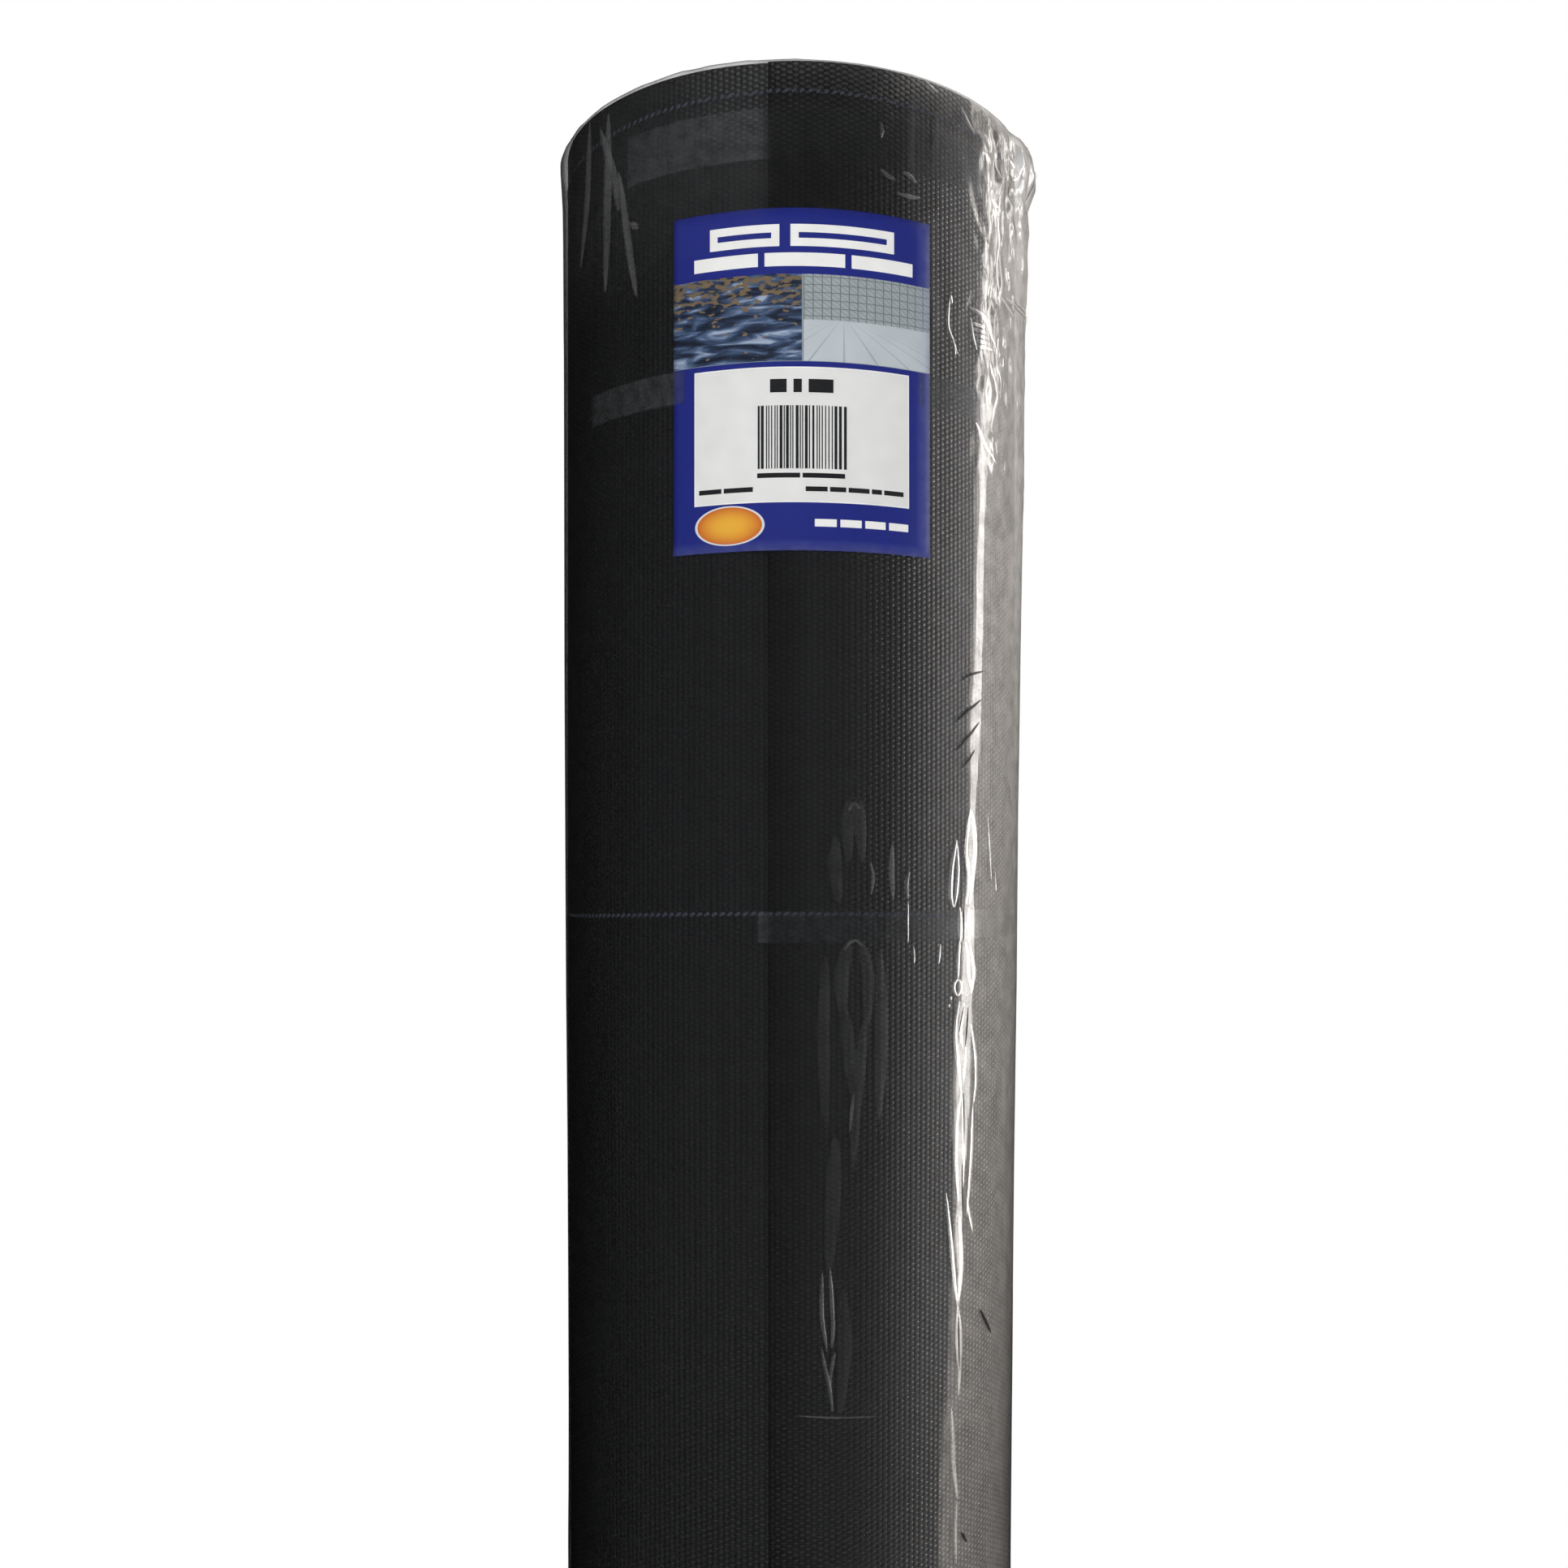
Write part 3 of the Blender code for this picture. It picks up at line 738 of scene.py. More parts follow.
# Painted reflection: the film's pale glare over the paper's right and lower edges, for 4 mm, in
# patches.
glare_patches = add(tree, "TexNoise", {"Vector": paper_map, "Scale": 240.0, "Detail": 3.0})
from_right = add(tree, "MapRange", (split["X"], 95.5 * MM, PRINT_WIDE * MM, 0.0, 0.5))
from_foot = add(tree, "MapRange", (split["Y"], 4.5 * MM, 0.0, 0.0, 0.35))
painted_glare = add(tree, "Math", (from_right, from_foot), operation="MAXIMUM")
painted_glare = add(tree, "Math", (painted_glare, glare_patches), operation="MULTIPLY")
painted_glare = add(tree, "Mix", {0: painted_glare, 6: printed, 7: linear("8d96c8")}, data_type="RGBA")
# Paper fibres under the print are 1 to 2 mm long.
pulp = add(tree, "TexNoise", {"Vector": paper_map, "Scale": 900.0, "Detail": 3.0})
bump = add(tree, "Bump", {"Height": pulp, "Strength": 0.15, "Distance": 0.03 * MM})
coated = {"Base Color": painted_glare, "Roughness": 0.42, "Specular IOR Level": 0.4, "Normal": bump}
finish_material(tree, add(tree, "BsdfPrincipled", coated))

label = bent_sheet("roll_label_paper", places, maps, print_paper, LABEL_THICKNESS)
ink_layer = label.data.color_attributes.new("ink", "FLOAT_COLOR", "CORNER")
picture_layer = label.data.attributes.new("picture", "FLOAT", "FACE")
middle_across = (across[:-1] + across[1:]) / 2
middle_down = ((down[:-1] + down[1:]) / 2)[::-1]
inks = np.tile(np.array(linear(BLUE)), (len(middle_down), len(middle_across), 1))
pictures = np.zeros((len(middle_down), len(middle_across)))
for (left, top, right, bottom), colour, kind in fields:
    in_rows = (middle_down > top) & (middle_down < bottom)
    in_columns = (middle_across > left) & (middle_across < right)
    inside = in_rows[:, None] & in_columns[None, :]
    inks[inside] = linear(colour)
    pictures[inside] = kind
corner_inks = np.repeat(inks.reshape(-1, 4), 4, axis=0)
picture_layer.data.foreach_set("value", pictures.reshape(-1).astype(np.float32))
ink_layer.data.foreach_set("color", corner_inks.reshape(-1).astype(np.float32))
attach(label, "root")
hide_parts("roll_label")

# Clear tapes
# Short lengths of clear packing tape: four hold the free edge down and two hold the label. Each
# was torn off a dispenser, which leaves a row of small teeth on its ends.
TAPE_THICKNESS = 0.05 * MM
TAPE_LIFT = 0.08 * MM
TAPE_RIPPLE = 0.03 * MM
TAPE_COLUMN = 2 * MM
TOOTH_PITCH = 1.6 * MM
TOOTH_DEPTH = 0.5 * MM
# The tape comes up onto the label over this width, and clears a marker yarn by this much.
SEAT_REACH = 0.6 * MM
YARN_CLEARANCE = 0.3 * MM
LABEL_CLEARANCE = 0.02 * MM
MILKY_FROM, MILKY_TO = FREE_EDGE * WEB_RADIUS - 3 * MM, FREE_EDGE * WEB_RADIUS + 1 * MM


def packing_tape(name, haze_left, haze_right):
    """Clear polypropylene tape, milky with the air under it, left and right of the free edge."""
    packing, tree = new_material(name, "8d8f92")
    place = add(tree, "TexCoord").outputs["Object"]
    round_at = add(tree, "SeparateXYZ", (add(tree, "UVMap", uv_map="cloth"),)).outputs["X"]
    # Air under the tape leaves cloudy spots 2 to 6 mm across.
    cloud = add(tree, "TexNoise", {"Vector": place, "Scale": 260.0, "Detail": 3.0})
    cloudy = add(tree, "MapRange", (cloud, 0.35, 0.7, 0.6, 1.5))
    milk = add(tree, "MapRange", (round_at, MILKY_FROM, MILKY_TO, haze_left, haze_right))
    milk = add(tree, "Math", (milk, cloudy), operation="MULTIPLY")
    facing = add(tree, "LayerWeight", {"Blend": 0.5}).outputs["Facing"]
    gloss_share = add(tree, "Math", (facing, 5.0), operation="POWER")
    gloss_share = add(tree, "Math", (gloss_share, 0.15, 0.03), operation="MULTIPLY_ADD")
    bump = add(tree, "Bump", {"Height": cloud, "Strength": 0.2, "Distance": 0.2 * MM})
    clear = add(tree, "BsdfTransparent", {"Color": (0.92, 0.925, 0.93, 1)})
    milky = add(tree, "BsdfDiffuse", {"Color": linear("d5d9de")})
    hazy = add(tree, "MixShader", (milk, clear, milky))
    shine = {"Color": WHITE_LIGHT, "Roughness": 0.22, "Normal": bump}
    shine = add(tree, "BsdfAnisotropic", shine)
    finish_material(tree, add(tree, "MixShader", (gloss_share, hazy, shine)))
    return packing


def tape(node, first, last, seat, material):
    """Strip of tape from one arc to another. seat is the radius that it sticks to."""
    low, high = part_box(node)
    tall = high.z - low.z
    first, last = first / WEB_RADIUS, last / WEB_RADIUS
    teeth = max(2, round(tall / TOOTH_PITCH))
    share_up = np.linspace(0, 1, teeth * 4 + 1)[:, None]
    heights = low.z + tall * share_up
    bite = TOOTH_DEPTH * np.abs(np.mod(share_up * teeth, 1.0) * 2 - 1) / WEB_RADIUS
    share = np.linspace(0, 1, int((last - first) * WEB_RADIUS / TAPE_COLUMN) + 2)[None, :]
    angles = (first + bite) + (last - first - 2 * bite) * share
    ripple = np.sin(angles * 190 + heights * 900) * np.sin(angles * 61 - heights * 310)
    radii = seat(angles, heights) + TAPE_THICKNESS + TAPE_LIFT + TAPE_RIPPLE * ripple
    places = round_roll(radii, angles, heights)
    maps = both(angles * WEB_RADIUS, heights)
    made = bent_sheet(f"{node}_strip", places, maps, material, TAPE_THICKNESS)
    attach(made, "root")
    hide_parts(node)


def label_seat(angle, height):
    """Radius of the label's face where the label lies, and of the cloth elsewhere."""
    arc = (angle - LABEL_LEFT) * WEB_RADIUS
    inside = np.minimum(arc + SEAT_REACH, LABEL_WIDTH - arc + SEAT_REACH)
    share = np.clip(inside / SEAT_REACH, 0, 1)
    return over_step(angle, height) + (LABEL_GAP + LABEL_THICKNESS) * share + LABEL_CLEARANCE


def yarn_seat(angle, height):
    return over_step(angle, height) + YARN_CLEARANCE


# Where each tape begins and ends: mm along the arc from the free edge, or from the label's edges
WIDE_TAPE = (-61, 106)
NARROW_TAPE = (-4, 143)
ON_LABEL, OFF_LABEL = 5, 47
end_tape = packing_tape("cloudy_packing_tape", 0.020, 0.003)
mid_tape = packing_tape("clear_packing_tape", 0.021, 0.007)
free_arc = FREE_EDGE * WEB_RADIUS
left_arc, right_arc = LABEL_LEFT * WEB_RADIUS, LABEL_RIGHT * WEB_RADIUS
for node, start, (first, last), seat, material in (
    ("free_edge_tape_top", free_arc, WIDE_TAPE, over_step, end_tape),
    ("free_edge_tape_bottom", free_arc, WIDE_TAPE, over_step, end_tape),
    ("free_edge_tape_upper", free_arc, NARROW_TAPE, yarn_seat, mid_tape),
    ("free_edge_tape_lower", free_arc, NARROW_TAPE, yarn_seat, mid_tape),
    ("label_tape_left", left_arc, (-OFF_LABEL, ON_LABEL), label_seat, mid_tape),
    ("label_tape_right", right_arc, (-ON_LABEL, OFF_LABEL), label_seat, mid_tape),
):
    tape(node, start + first * MM, start + last * MM, seat, material)

# Film sleeve
# A tube of thin clear polyethylene film, pulled over the roll, folded over both ends and
# tucked into the core. It hangs in upright wrinkles, with crumpled folds at its upper right.
FILM_RADIUS = 95.95 * MM
FILM_THICKNESS = 0.08 * MM
FILM_TUCK = 60 * MM
FILM_BORE = CORE_INNER - 0.4 * MM
FILM_BEND = 1.2 * MM
END_INSET = 0.35 * MM
# Crumpled film breaks into flat facets 3 mm wide and 8 mm tall, round this bearing and high up.
CRUMPLE_ANGLE = math.radians(70)
CRUMPLE_REACH = (math.radians(12), math.radians(29))
CRUMPLE_HEIGHTS = (1.66, 1.74)
CRUMPLE_RELIEF = 0.30 * MM
SEEN_EDGE_ON = (0.34, 0.33, 0.32, 1)
# Where the film is stretched and turns milky: towards the upper fold, on its left
STRETCHED_SIDE, STRETCHED_HEIGHTS = (-14 * MM, -6 * MM), (1.745, 1.785)


def clear_film(name, plies, roughness, whitened, seen_through=0.985):
    """Clear blown polyethylene: hard gloss over what lies under it. Folded film shines for its
    number of plies, and a hard crease turns it whitish or shows it edge on, where it is darker."""
    film, tree = new_material(name, "c9ccd0")
    place = add(tree, "TexCoord").outputs["Object"]
    split = add(tree, "SeparateXYZ", (place,)).outputs
    # Fine crinkles 2 to 3 mm wide and 15 mm long run up the roll.
    crinkle_lay = add(tree, "Mapping", {"Vector": place, "Scale": (1.0, 1.0, 0.16)})
    crinkle = {"Vector": crinkle_lay, "Scale": 330.0, "Detail": 2.0, "Roughness": 0.55}
    relief = add(tree, "Math", (add(tree, "TexNoise", crinkle), 0.03 * MM), operation="MULTIPLY")
    if plies == 1:
        film_lay = add(tree, "UVMap", uv_map="cloth")
        bend = add(tree, "TexNoise", {"Vector": film_lay, "Scale": 130.0, "Detail": 0.0})
        bent = (bend.outputs["Color"], (0.006, 0.012, 0.0), film_lay)
        bent = add(tree, "VectorMath", bent, operation="MULTIPLY_ADD")
        facet_lay = add(tree, "Mapping", {"Vector": bent, "Scale": (330.0, 120.0, 1.0)})
        facets = {"Vector": facet_lay, "Scale": 1.0}
        facets = add(tree, "TexVoronoi", facets, feature="DISTANCE_TO_EDGE")
        off_side = add(tree, "SeparateXYZ", (film_lay,)).outputs["X"]
        for operation, value in (("DIVIDE", FILM_RADIUS), ("SUBTRACT", CRUMPLE_ANGLE)):
            off_side = add(tree, "Math", (off_side, value), operation=operation)
        off_side = add(tree, "Math", (off_side,), operation="ABSOLUTE")
        crumpled = add(tree, "MapRange", (off_side, *CRUMPLE_REACH, 1.0, 0.0), **SMOOTHLY)
        high_up = add(tree, "MapRange", (split["Z"], *CRUMPLE_HEIGHTS, 0.0, CRUMPLE_RELIEF), **SMOOTHLY)
        crumpled = add(tree, "Math", (crumpled, high_up), operation="MULTIPLY")
        relief = add(tree, "Math", (facets, crumpled, relief), operation="MULTIPLY_ADD")
    bump = add(tree, "Bump", {"Height": relief, "Strength": 1.0, "Distance": 1.0})
    facing = add(tree, "LayerWeight", {"Blend": 0.5}).outputs["Facing"]
    straight_on, glancing = 0.042 * plies, 0.5 * min(plies, 1.5)
    gloss_share = add(tree, "Math", (facing, 5.0), operation="POWER")
    gloss_share = add(tree, "Math", (gloss_share, glancing, straight_on), operation="MULTIPLY_ADD")
    # The film was drawn thinner and thicker, so its shine comes and goes in patches 3 to 8 mm across.
    patches = add(tree, "TexNoise", {"Vector": place, "Scale": 130.0, "Detail": 5.0})
    patchy = add(tree, "MapRange", (patches, 0.3, 0.7, 0.68, 1.32))
    gloss_share = add(tree, "Math", (gloss_share, patchy), operation="MULTIPLY")
    # Seen edge on, a fold of film has many plies behind each other and lets less through.
    edge_on = add(tree, "Math", (facing, 2.5), operation="POWER")
    # A seen_through below one tints the film dark even face on; for the cut folds this is painted
    # shade.
    passed = {0: edge_on, 6: (seen_through, seen_through, seen_through, 1), 7: SEEN_EDGE_ON}
    passed = add(tree, "Mix", passed, data_type="RGBA")
    left = add(tree, "MapRange", (split["X"], *STRETCHED_SIDE, 0.005, 0.0))
    stretched = add(tree, "Math", (left, whitened), operation="ADD")
    milk = add(tree, "MapRange", (split["Z"], *STRETCHED_HEIGHTS, whitened, stretched))
    milk = add(tree, "Math", (milk, patchy), operation="MULTIPLY")
    milky = add(tree, "BsdfDiffuse", {"Color": linear("e6e8ea")})
    clear = add(tree, "BsdfTransparent", {"Color": passed})
    hazy = add(tree, "MixShader", (milk, clear, milky))
    shine = {"Color": WHITE_LIGHT, "Roughness": roughness, "Normal": bump}
    shine = add(tree, "BsdfAnisotropic", shine)
    finish_material(tree, add(tree, "MixShader", (gloss_share, hazy, shine)))
    return film


# The sleeve's section from the upper tuck over the end and down the side: radius, height, and
# the way that is outwards there.
TOP, BOTTOM = cad_high.z - END_INSET, cad_low.z + END_INSET
SIDE_TOP, SIDE_FOOT = TOP - FILM_BEND, BOTTOM + FILM_BEND
upper_end = []
for share in np.linspace(0, 1, 5):
    upper_end.append((FILM_BORE, TOP - FILM_TUCK + share * (FILM_TUCK - FILM_BEND), -1.0, 0.0))
for turn in np.linspace(0, math.pi / 2, 3)[1:]:
    out, up = -math.cos(turn), math.sin(turn)
    upper_end.append((FILM_BORE + FILM_BEND + FILM_BEND * out, SIDE_TOP + FILM_BEND * up, out, up))
for share in np.linspace(0, 1, 9)[1:]:
    across_end = share * (FILM_RADIUS - 2 * FILM_BEND - FILM_BORE)
    upper_end.append((FILM_BORE + FILM_BEND + across_end, TOP, 0.0, 1.0))
for turn in np.linspace(0, math.pi / 2, 4)[1:]:
    out, up = math.sin(turn), math.cos(turn)
    upper_end.append((FILM_RADIUS - FILM_BEND + FILM_BEND * out, SIDE_TOP + FILM_BEND * up, out, up))
mirrored = [(radius, TOP + BOTTOM - height, out, -up) for radius, height, out, up in upper_end]
lower_end = mirrored[::-1]
# Rows of mesh lie closer together towards the top, where the film is most crumpled: heights in m,
# and the steps there in mm
ROW_HEIGHTS, ROW_STEPS = (1.1, 1.25, 1.70, 1.76), (30, 5.4, 5.0, 3.2)
LAST_ROW_MARGIN = 10 * MM
heights = [SIDE_TOP]
while heights[-1] > SIDE_FOOT:
    heights.append(heights[-1] - np.interp(heights[-1], ROW_HEIGHTS, ROW_STEPS) * MM)
heights = [height for height in heights[1:] if height > SIDE_FOOT + LAST_ROW_MARGIN]
section = upper_end + [(FILM_RADIUS, height, 1.0, 0.0) for height in heights] + lower_end
section = np.array(section)[::-1]
steps = np.hypot(np.diff(section[:, 0]), np.diff(section[:, 1]))
walk = np.concatenate([[0], np.cumsum(steps)])
# On the side, a walk along the section is the height and this much more.
FILM_WALK = walk[len(lower_end)] - heights[-1]

# Columns lie closer together on the right of the front, where the light rakes: bearings and the
# steps there in degrees
COLUMN_BEARINGS = (-180, -75, 0, 26, 84, 90, 180)
COLUMN_STEPS = (3.4, 2.4, 2.2, 1.3, 1.3, 3.2, 3.4)
angles = [-math.pi]
while angles[-1] < math.pi:
    step = np.interp(math.degrees(angles[-1]), COLUMN_BEARINGS, COLUMN_STEPS)
    angles.append(angles[-1] + math.radians(step))
angles = np.array(angles)
angles = -math.pi + (angles + math.pi) * (FULL_TURN / (angles[-1] + math.pi))

# The sleeve is laid out flat first, as angle and walk along the section, and the part that the
# light rakes is cut twice as fine.
FINE_FROM, FINE_TO = math.radians(27), math.radians(84)
FINE_LOW, FINE_HIGH = FILM_WALK + 1.25, FILM_WALK + 1.826
laid = bmesh.new()
bmesh.ops.create_grid(laid, x_segments=len(angles) - 1, y_segments=len(section) - 1, size=1.0)
for at, v in enumerate(laid.verts):
    v.co = (angles[at % len(angles)], walk[at // len(angles)], 0)
raked = set()
for f in laid.faces:
    middle = f.calc_center_median()
    if FINE_FROM < middle.x < FINE_TO and FINE_LOW < middle.y < FINE_HIGH:
        raked.update(f.edges)
raked = [e for e in laid.edges if e in raked]
bmesh.ops.subdivide_edges(laid, edges=raked, cuts=1, use_grid_fill=True)
film_map = laid.loops.layers.uv.new("cloth")
for f in laid.faces:
    for corner in f.loops:
        corner[film_map].uv = (corner.vert.co.x * FILM_RADIUS, corner.vert.co.y)
turned, walked = np.array([v.co[:2] for v in laid.verts]).T
row_radius, row_height, row_out, row_up = [np.interp(walked, walk, part) for part in section.T]


def ridge(angle, height, start, end, width, lift, flat):
    """Long narrow swell of the film between two places, each an angle and a height."""
    ax, ay = start[0] * FILM_RADIUS, start[1]
    bx, by = end[0] * FILM_RADIUS, end[1]
    length = math.hypot(bx - ax, by - ay)
    ux, uy = (bx - ax) / length, (by - ay) / length
    px = (np.mod(angle - start[0] + math.pi, FULL_TURN) - math.pi) * FILM_RADIUS
    py = height - ay
    along = (px * ux + py * uy) / length
    off = (px * uy - py * ux) / width
    taper = np.clip(1 - (2 * along - 1) ** 2, 0, 1) ** flat
    return lift * taper * np.exp(-np.abs(off) ** 1.6)


# The film clears the cloth by this much, and tents over the label's edges, which stand off it.
FILM_CLEARANCE, LEAST_CLEARANCE = 0.34 * MM, 0.2 * MM
TENT_LIFT, TENT_REACH = 0.7 * MM, 7 * MM


def film_seat(angle, height):
    """Radius at which the film lies on the cloth, tight but for its tent over the label."""
    arc = (np.mod(angle - LABEL_LEFT + math.pi, FULL_TURN) - math.pi) * WEB_RADIUS
    beside = np.maximum(-arc, arc - LABEL_WIDTH)
    above = np.maximum(label_low.z - height, height - label_high.z)
    tent = smooth(np.clip(1 - np.maximum(beside, above) / TENT_REACH, 0, 1))
    laid_on = over_step(angle, height) + FILM_CLEARANCE + TENT_LIFT * tent
    tight = FILM_RADIUS + waist(angle, height) + 0.5 * dents(angle, height)
    return np.maximum(laid_on, tight)


# How far the sleeve hangs off the roll at its two sides: heights in m, and mm on the left and right
LOOSE = (
    (1.4200, 0.0, 0.0),
    (1.5545, 0.6, 0.9),
    (1.6240, 0.9, 2.0),
    (1.6930, 1.1, 3.4),
    (1.7620, 1.3, 4.1),
    (1.7827, 1.5, 5.2),
    (1.7966, 1.6, 5.1),
    (1.8104, 1.8, 4.9),
    (1.8208, 2.4, 8.3),
    (1.8270, 2.8, 7.8),
    (1.8306, 2.8, 7.3),
)
LOOSE_SIDES = (math.radians(-86), math.radians(86))
LOOSE_REACH = math.radians(14)
# Broad swells and hollows that the photo shows: the pixels of both ends, half width and lift in mm
SWELLS = (
    (1207, 610, 1203, 860, 7.0, 0.10),
    (1199, 925, 1193, 1120, 6.0, 0.20),
    (1186, 1400, 1182, 1960, 7.0, 0.30),
    (1191, 1215, 1191, 1440, 9.0, -0.15),
)


def on_roll(x, y):
    """Angle and height where the line of sight through a pixel of the picture meets the film."""
    side = (x - PICTURE_SIDE / 2 + SHIFT_X * PICTURE_SIDE) / FOCAL_PIXELS
    rise = -(y - PICTURE_SIDE / 2 - SHIFT_Y * PICTURE_SIDE) / FOCAL_PIXELS
    forward = math.cos(CAMERA_TILT) - rise * math.sin(CAMERA_TILT)
    upward = math.sin(CAMERA_TILT) + rise * math.cos(CAMERA_TILT)
    square = side**2 + forward**2
    half = CAMERA_PLACE.x * side + CAMERA_PLACE.y * forward
    rest = CAMERA_PLACE.x**2 + CAMERA_PLACE.y**2 - FILM_RADIUS**2
    far = (-half - math.sqrt(max(0.0, half**2 - square * rest))) / square
    place = CAMERA_PLACE + far * Vector((side, forward, upward))
    return math.atan2(place.x, -place.y), place.z


creases = random.Random(41)
# Each wrinkle has its two ends, its half width, its lift and how blunt its ends are.
wrinkles = []


def add_wrinkle(where, middle, long, lean, half_width, lift):
    """Wrinkle through a place, leaning that far from upright; its sizes in metres."""
    aside, up = long / 2 * math.sin(lean) / FILM_RADIUS, long / 2 * math.cos(lean)
    ends = (where - aside, middle - up), (where + aside, middle + up)
    wrinkles.append((*ends, half_width, lift, 1.0))


# Even upright wrinkles all round, fainter on the right of the front, where the film lies smooth
for _ in range(190):
    where = creases.uniform(-math.pi, math.pi)
    middle = creases.uniform(0.02, 1.81)
    long = creases.uniform(0.03, 0.24)
    tilt = creases.gauss(0, 0.03) * long / FILM_RADIUS
    faint = 0.2 if math.radians(12) < where < math.radians(95) and 1.15 < middle else 1
    half_width = creases.uniform(2.2, 6.0) * MM
    lift = creases.uniform(0.10, 0.40) * MM * creases.choice((1, 1, -0.4)) * faint
    ends = (where - tilt, middle - long / 2), (where + tilt, middle + long / 2)
    wrinkles.append((*ends, half_width, lift, 1.0))
# Gathers that run from the folded ends and die out
for _ in range(120):
    where = creases.uniform(-math.pi, math.pi)
    long = creases.uniform(0.015, 0.09)
    tilt = creases.gauss(0, 0.10) * long / FILM_RADIUS
    end, way = creases.choice(((TOP, -1), (TOP, -1), (BOTTOM, 1)))
    faint = 0.4 if 0.5 < where < 1.1 else 1
    half_width = creases.uniform(2.0, 4.0) * MM
    lift = creases.uniform(0.15, 0.7) * MM * faint
    ends = (where, end - way * 5 * MM), (where + tilt, end + way * long)
    wrinkles.append((*ends, half_width, lift, 0.6))
# Short folds in the crumpled bulge at the upper right, which run every way
for _ in range(210):
    where = math.radians(creases.gauss(65, 13))
    middle = creases.uniform(1.690, 1.824)
    faint = 0.7 if math.radians(44) < where < math.radians(57) else 1
    long = creases.uniform(0.008, 0.030)
    lean = creases.gauss(0, 0.55)
    half_width = creases.uniform(1.3, 2.8) * MM
    lift = creases.uniform(0.12, 0.45) * MM * creases.choice((1, 1, -0.6)) * faint
    add_wrinkle(where, middle, long, lean, half_width, lift)
# The fold at the upper right is crushed into small flat hollows
for _ in range(60):
    where = math.radians(creases.gauss(72, 7))
    middle = creases.uniform(1.796, 1.826)
    long = creases.uniform(0.006, 0.016)
    lean = creases.uniform(-1.2, 1.2)
    half_width = creases.uniform(2.0, 3.6) * MM
    lift = creases.uniform(0.3, 0.8) * MM * creases.choice((1, -1))
    add_wrinkle(where, middle, long, lean, half_width, lift)
for x0, y0, x1, y1, half_width, lift in SWELLS:
    ends = on_roll(x0, y0), on_roll(x1, y1)
    wrinkles.append((*ends, half_width * MM, lift * MM, 0.6))


def stand_off(angle, height):
    """Radius of the film's outer face on the roll's side."""
    rise = np.zeros_like(angle)
    for wrinkle in wrinkles:
        rise = rise + ridge(angle, height, *wrinkle)
    levels, *hangs = np.array(LOOSE).T
    for middle, hang in zip(LOOSE_SIDES, hangs):
        side = np.exp(-(((angle - middle) / LOOSE_REACH) ** 2))
        rise = rise + side * np.interp(height, levels, hang) * MM
    return np.maximum(film_seat(angle, height) + rise, over_step(angle, height) + LEAST_CLEARANCE)


# On the ends the film gathers in pleats that grow towards the bore, and inside it they press flat.
# The roll's weight presses the lower ones flat too.
PLEATS = ((19, 0.4), (31, 0.35), (13, 0.25))
OUTER_PLEAT, INNER_PLEAT = 0.2 * MM, 3.2 * MM
LOWER_PLEAT, BORE_PLEAT = 0.3 * MM, 0.5 * MM
# Where the sleeve hangs loose at its upper right, its fold also stands up from the roll's end.
LOOSE_FOLD = 3.4 * MM
FOLD_ANGLE, FOLD_REACH = math.radians(84), math.radians(22)
side_stand = stand_off(turned, row_height) - FILM_RADIUS
edge_stand = stand_off(turned, np.where(row_up > 0, SIDE_TOP, SIDE_FOOT)) - FILM_RADIUS
pleats = np.zeros_like(turned)
for count, part in PLEATS:
    pleats = pleats + part * np.abs(np.sin(count / 2 * turned + creases.uniform(0, 6)))
inward = np.clip((FILM_RADIUS - row_radius) / (FILM_RADIUS - FILM_BORE), 0, 1)
end_rise = (OUTER_PLEAT + INNER_PLEAT * inward**1.3) * pleats
loose_fold = np.exp(-(((turned - FOLD_ANGLE) / FOLD_REACH) ** 2) - (inward / 0.16) ** 2)
end_rise = end_rise + LOOSE_FOLD * loose_fold
end_rise = np.where(row_height < cad_high.z / 4, LOWER_PLEAT * pleats, end_rise)
end_rise = np.where(row_out < -0.999, BORE_PLEAT * pleats, end_rise)
on_side = row_out > 0.999
shoulder = (row_out > 0) & ~on_side
rise = np.where(on_side, side_stand, end_rise)
rise = np.where(shoulder, edge_stand * row_out + end_rise * (1 - row_out), rise)
places = round_roll(row_radius + rise * row_out, turned, row_height + rise * row_up)
for v, place in zip(laid.verts, places):
    v.co = place
seam = [v for v, angle in zip(laid.verts, turned) if abs(angle) > math.pi - 1e-6]
bmesh.ops.remove_doubles(laid, verts=seam, dist=1e-6)
film = clear_film("clear_polyethylene_film", 1, 0.05, 0.001)
sleeve = piece("film_sleeve_skin", laid, film, 180)
wall = sleeve.modifiers.new("thickness", "SOLIDIFY")
wall.thickness = FILM_THICKNESS
wall.offset = -1
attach(sleeve, "root")
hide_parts("film_sleeve")

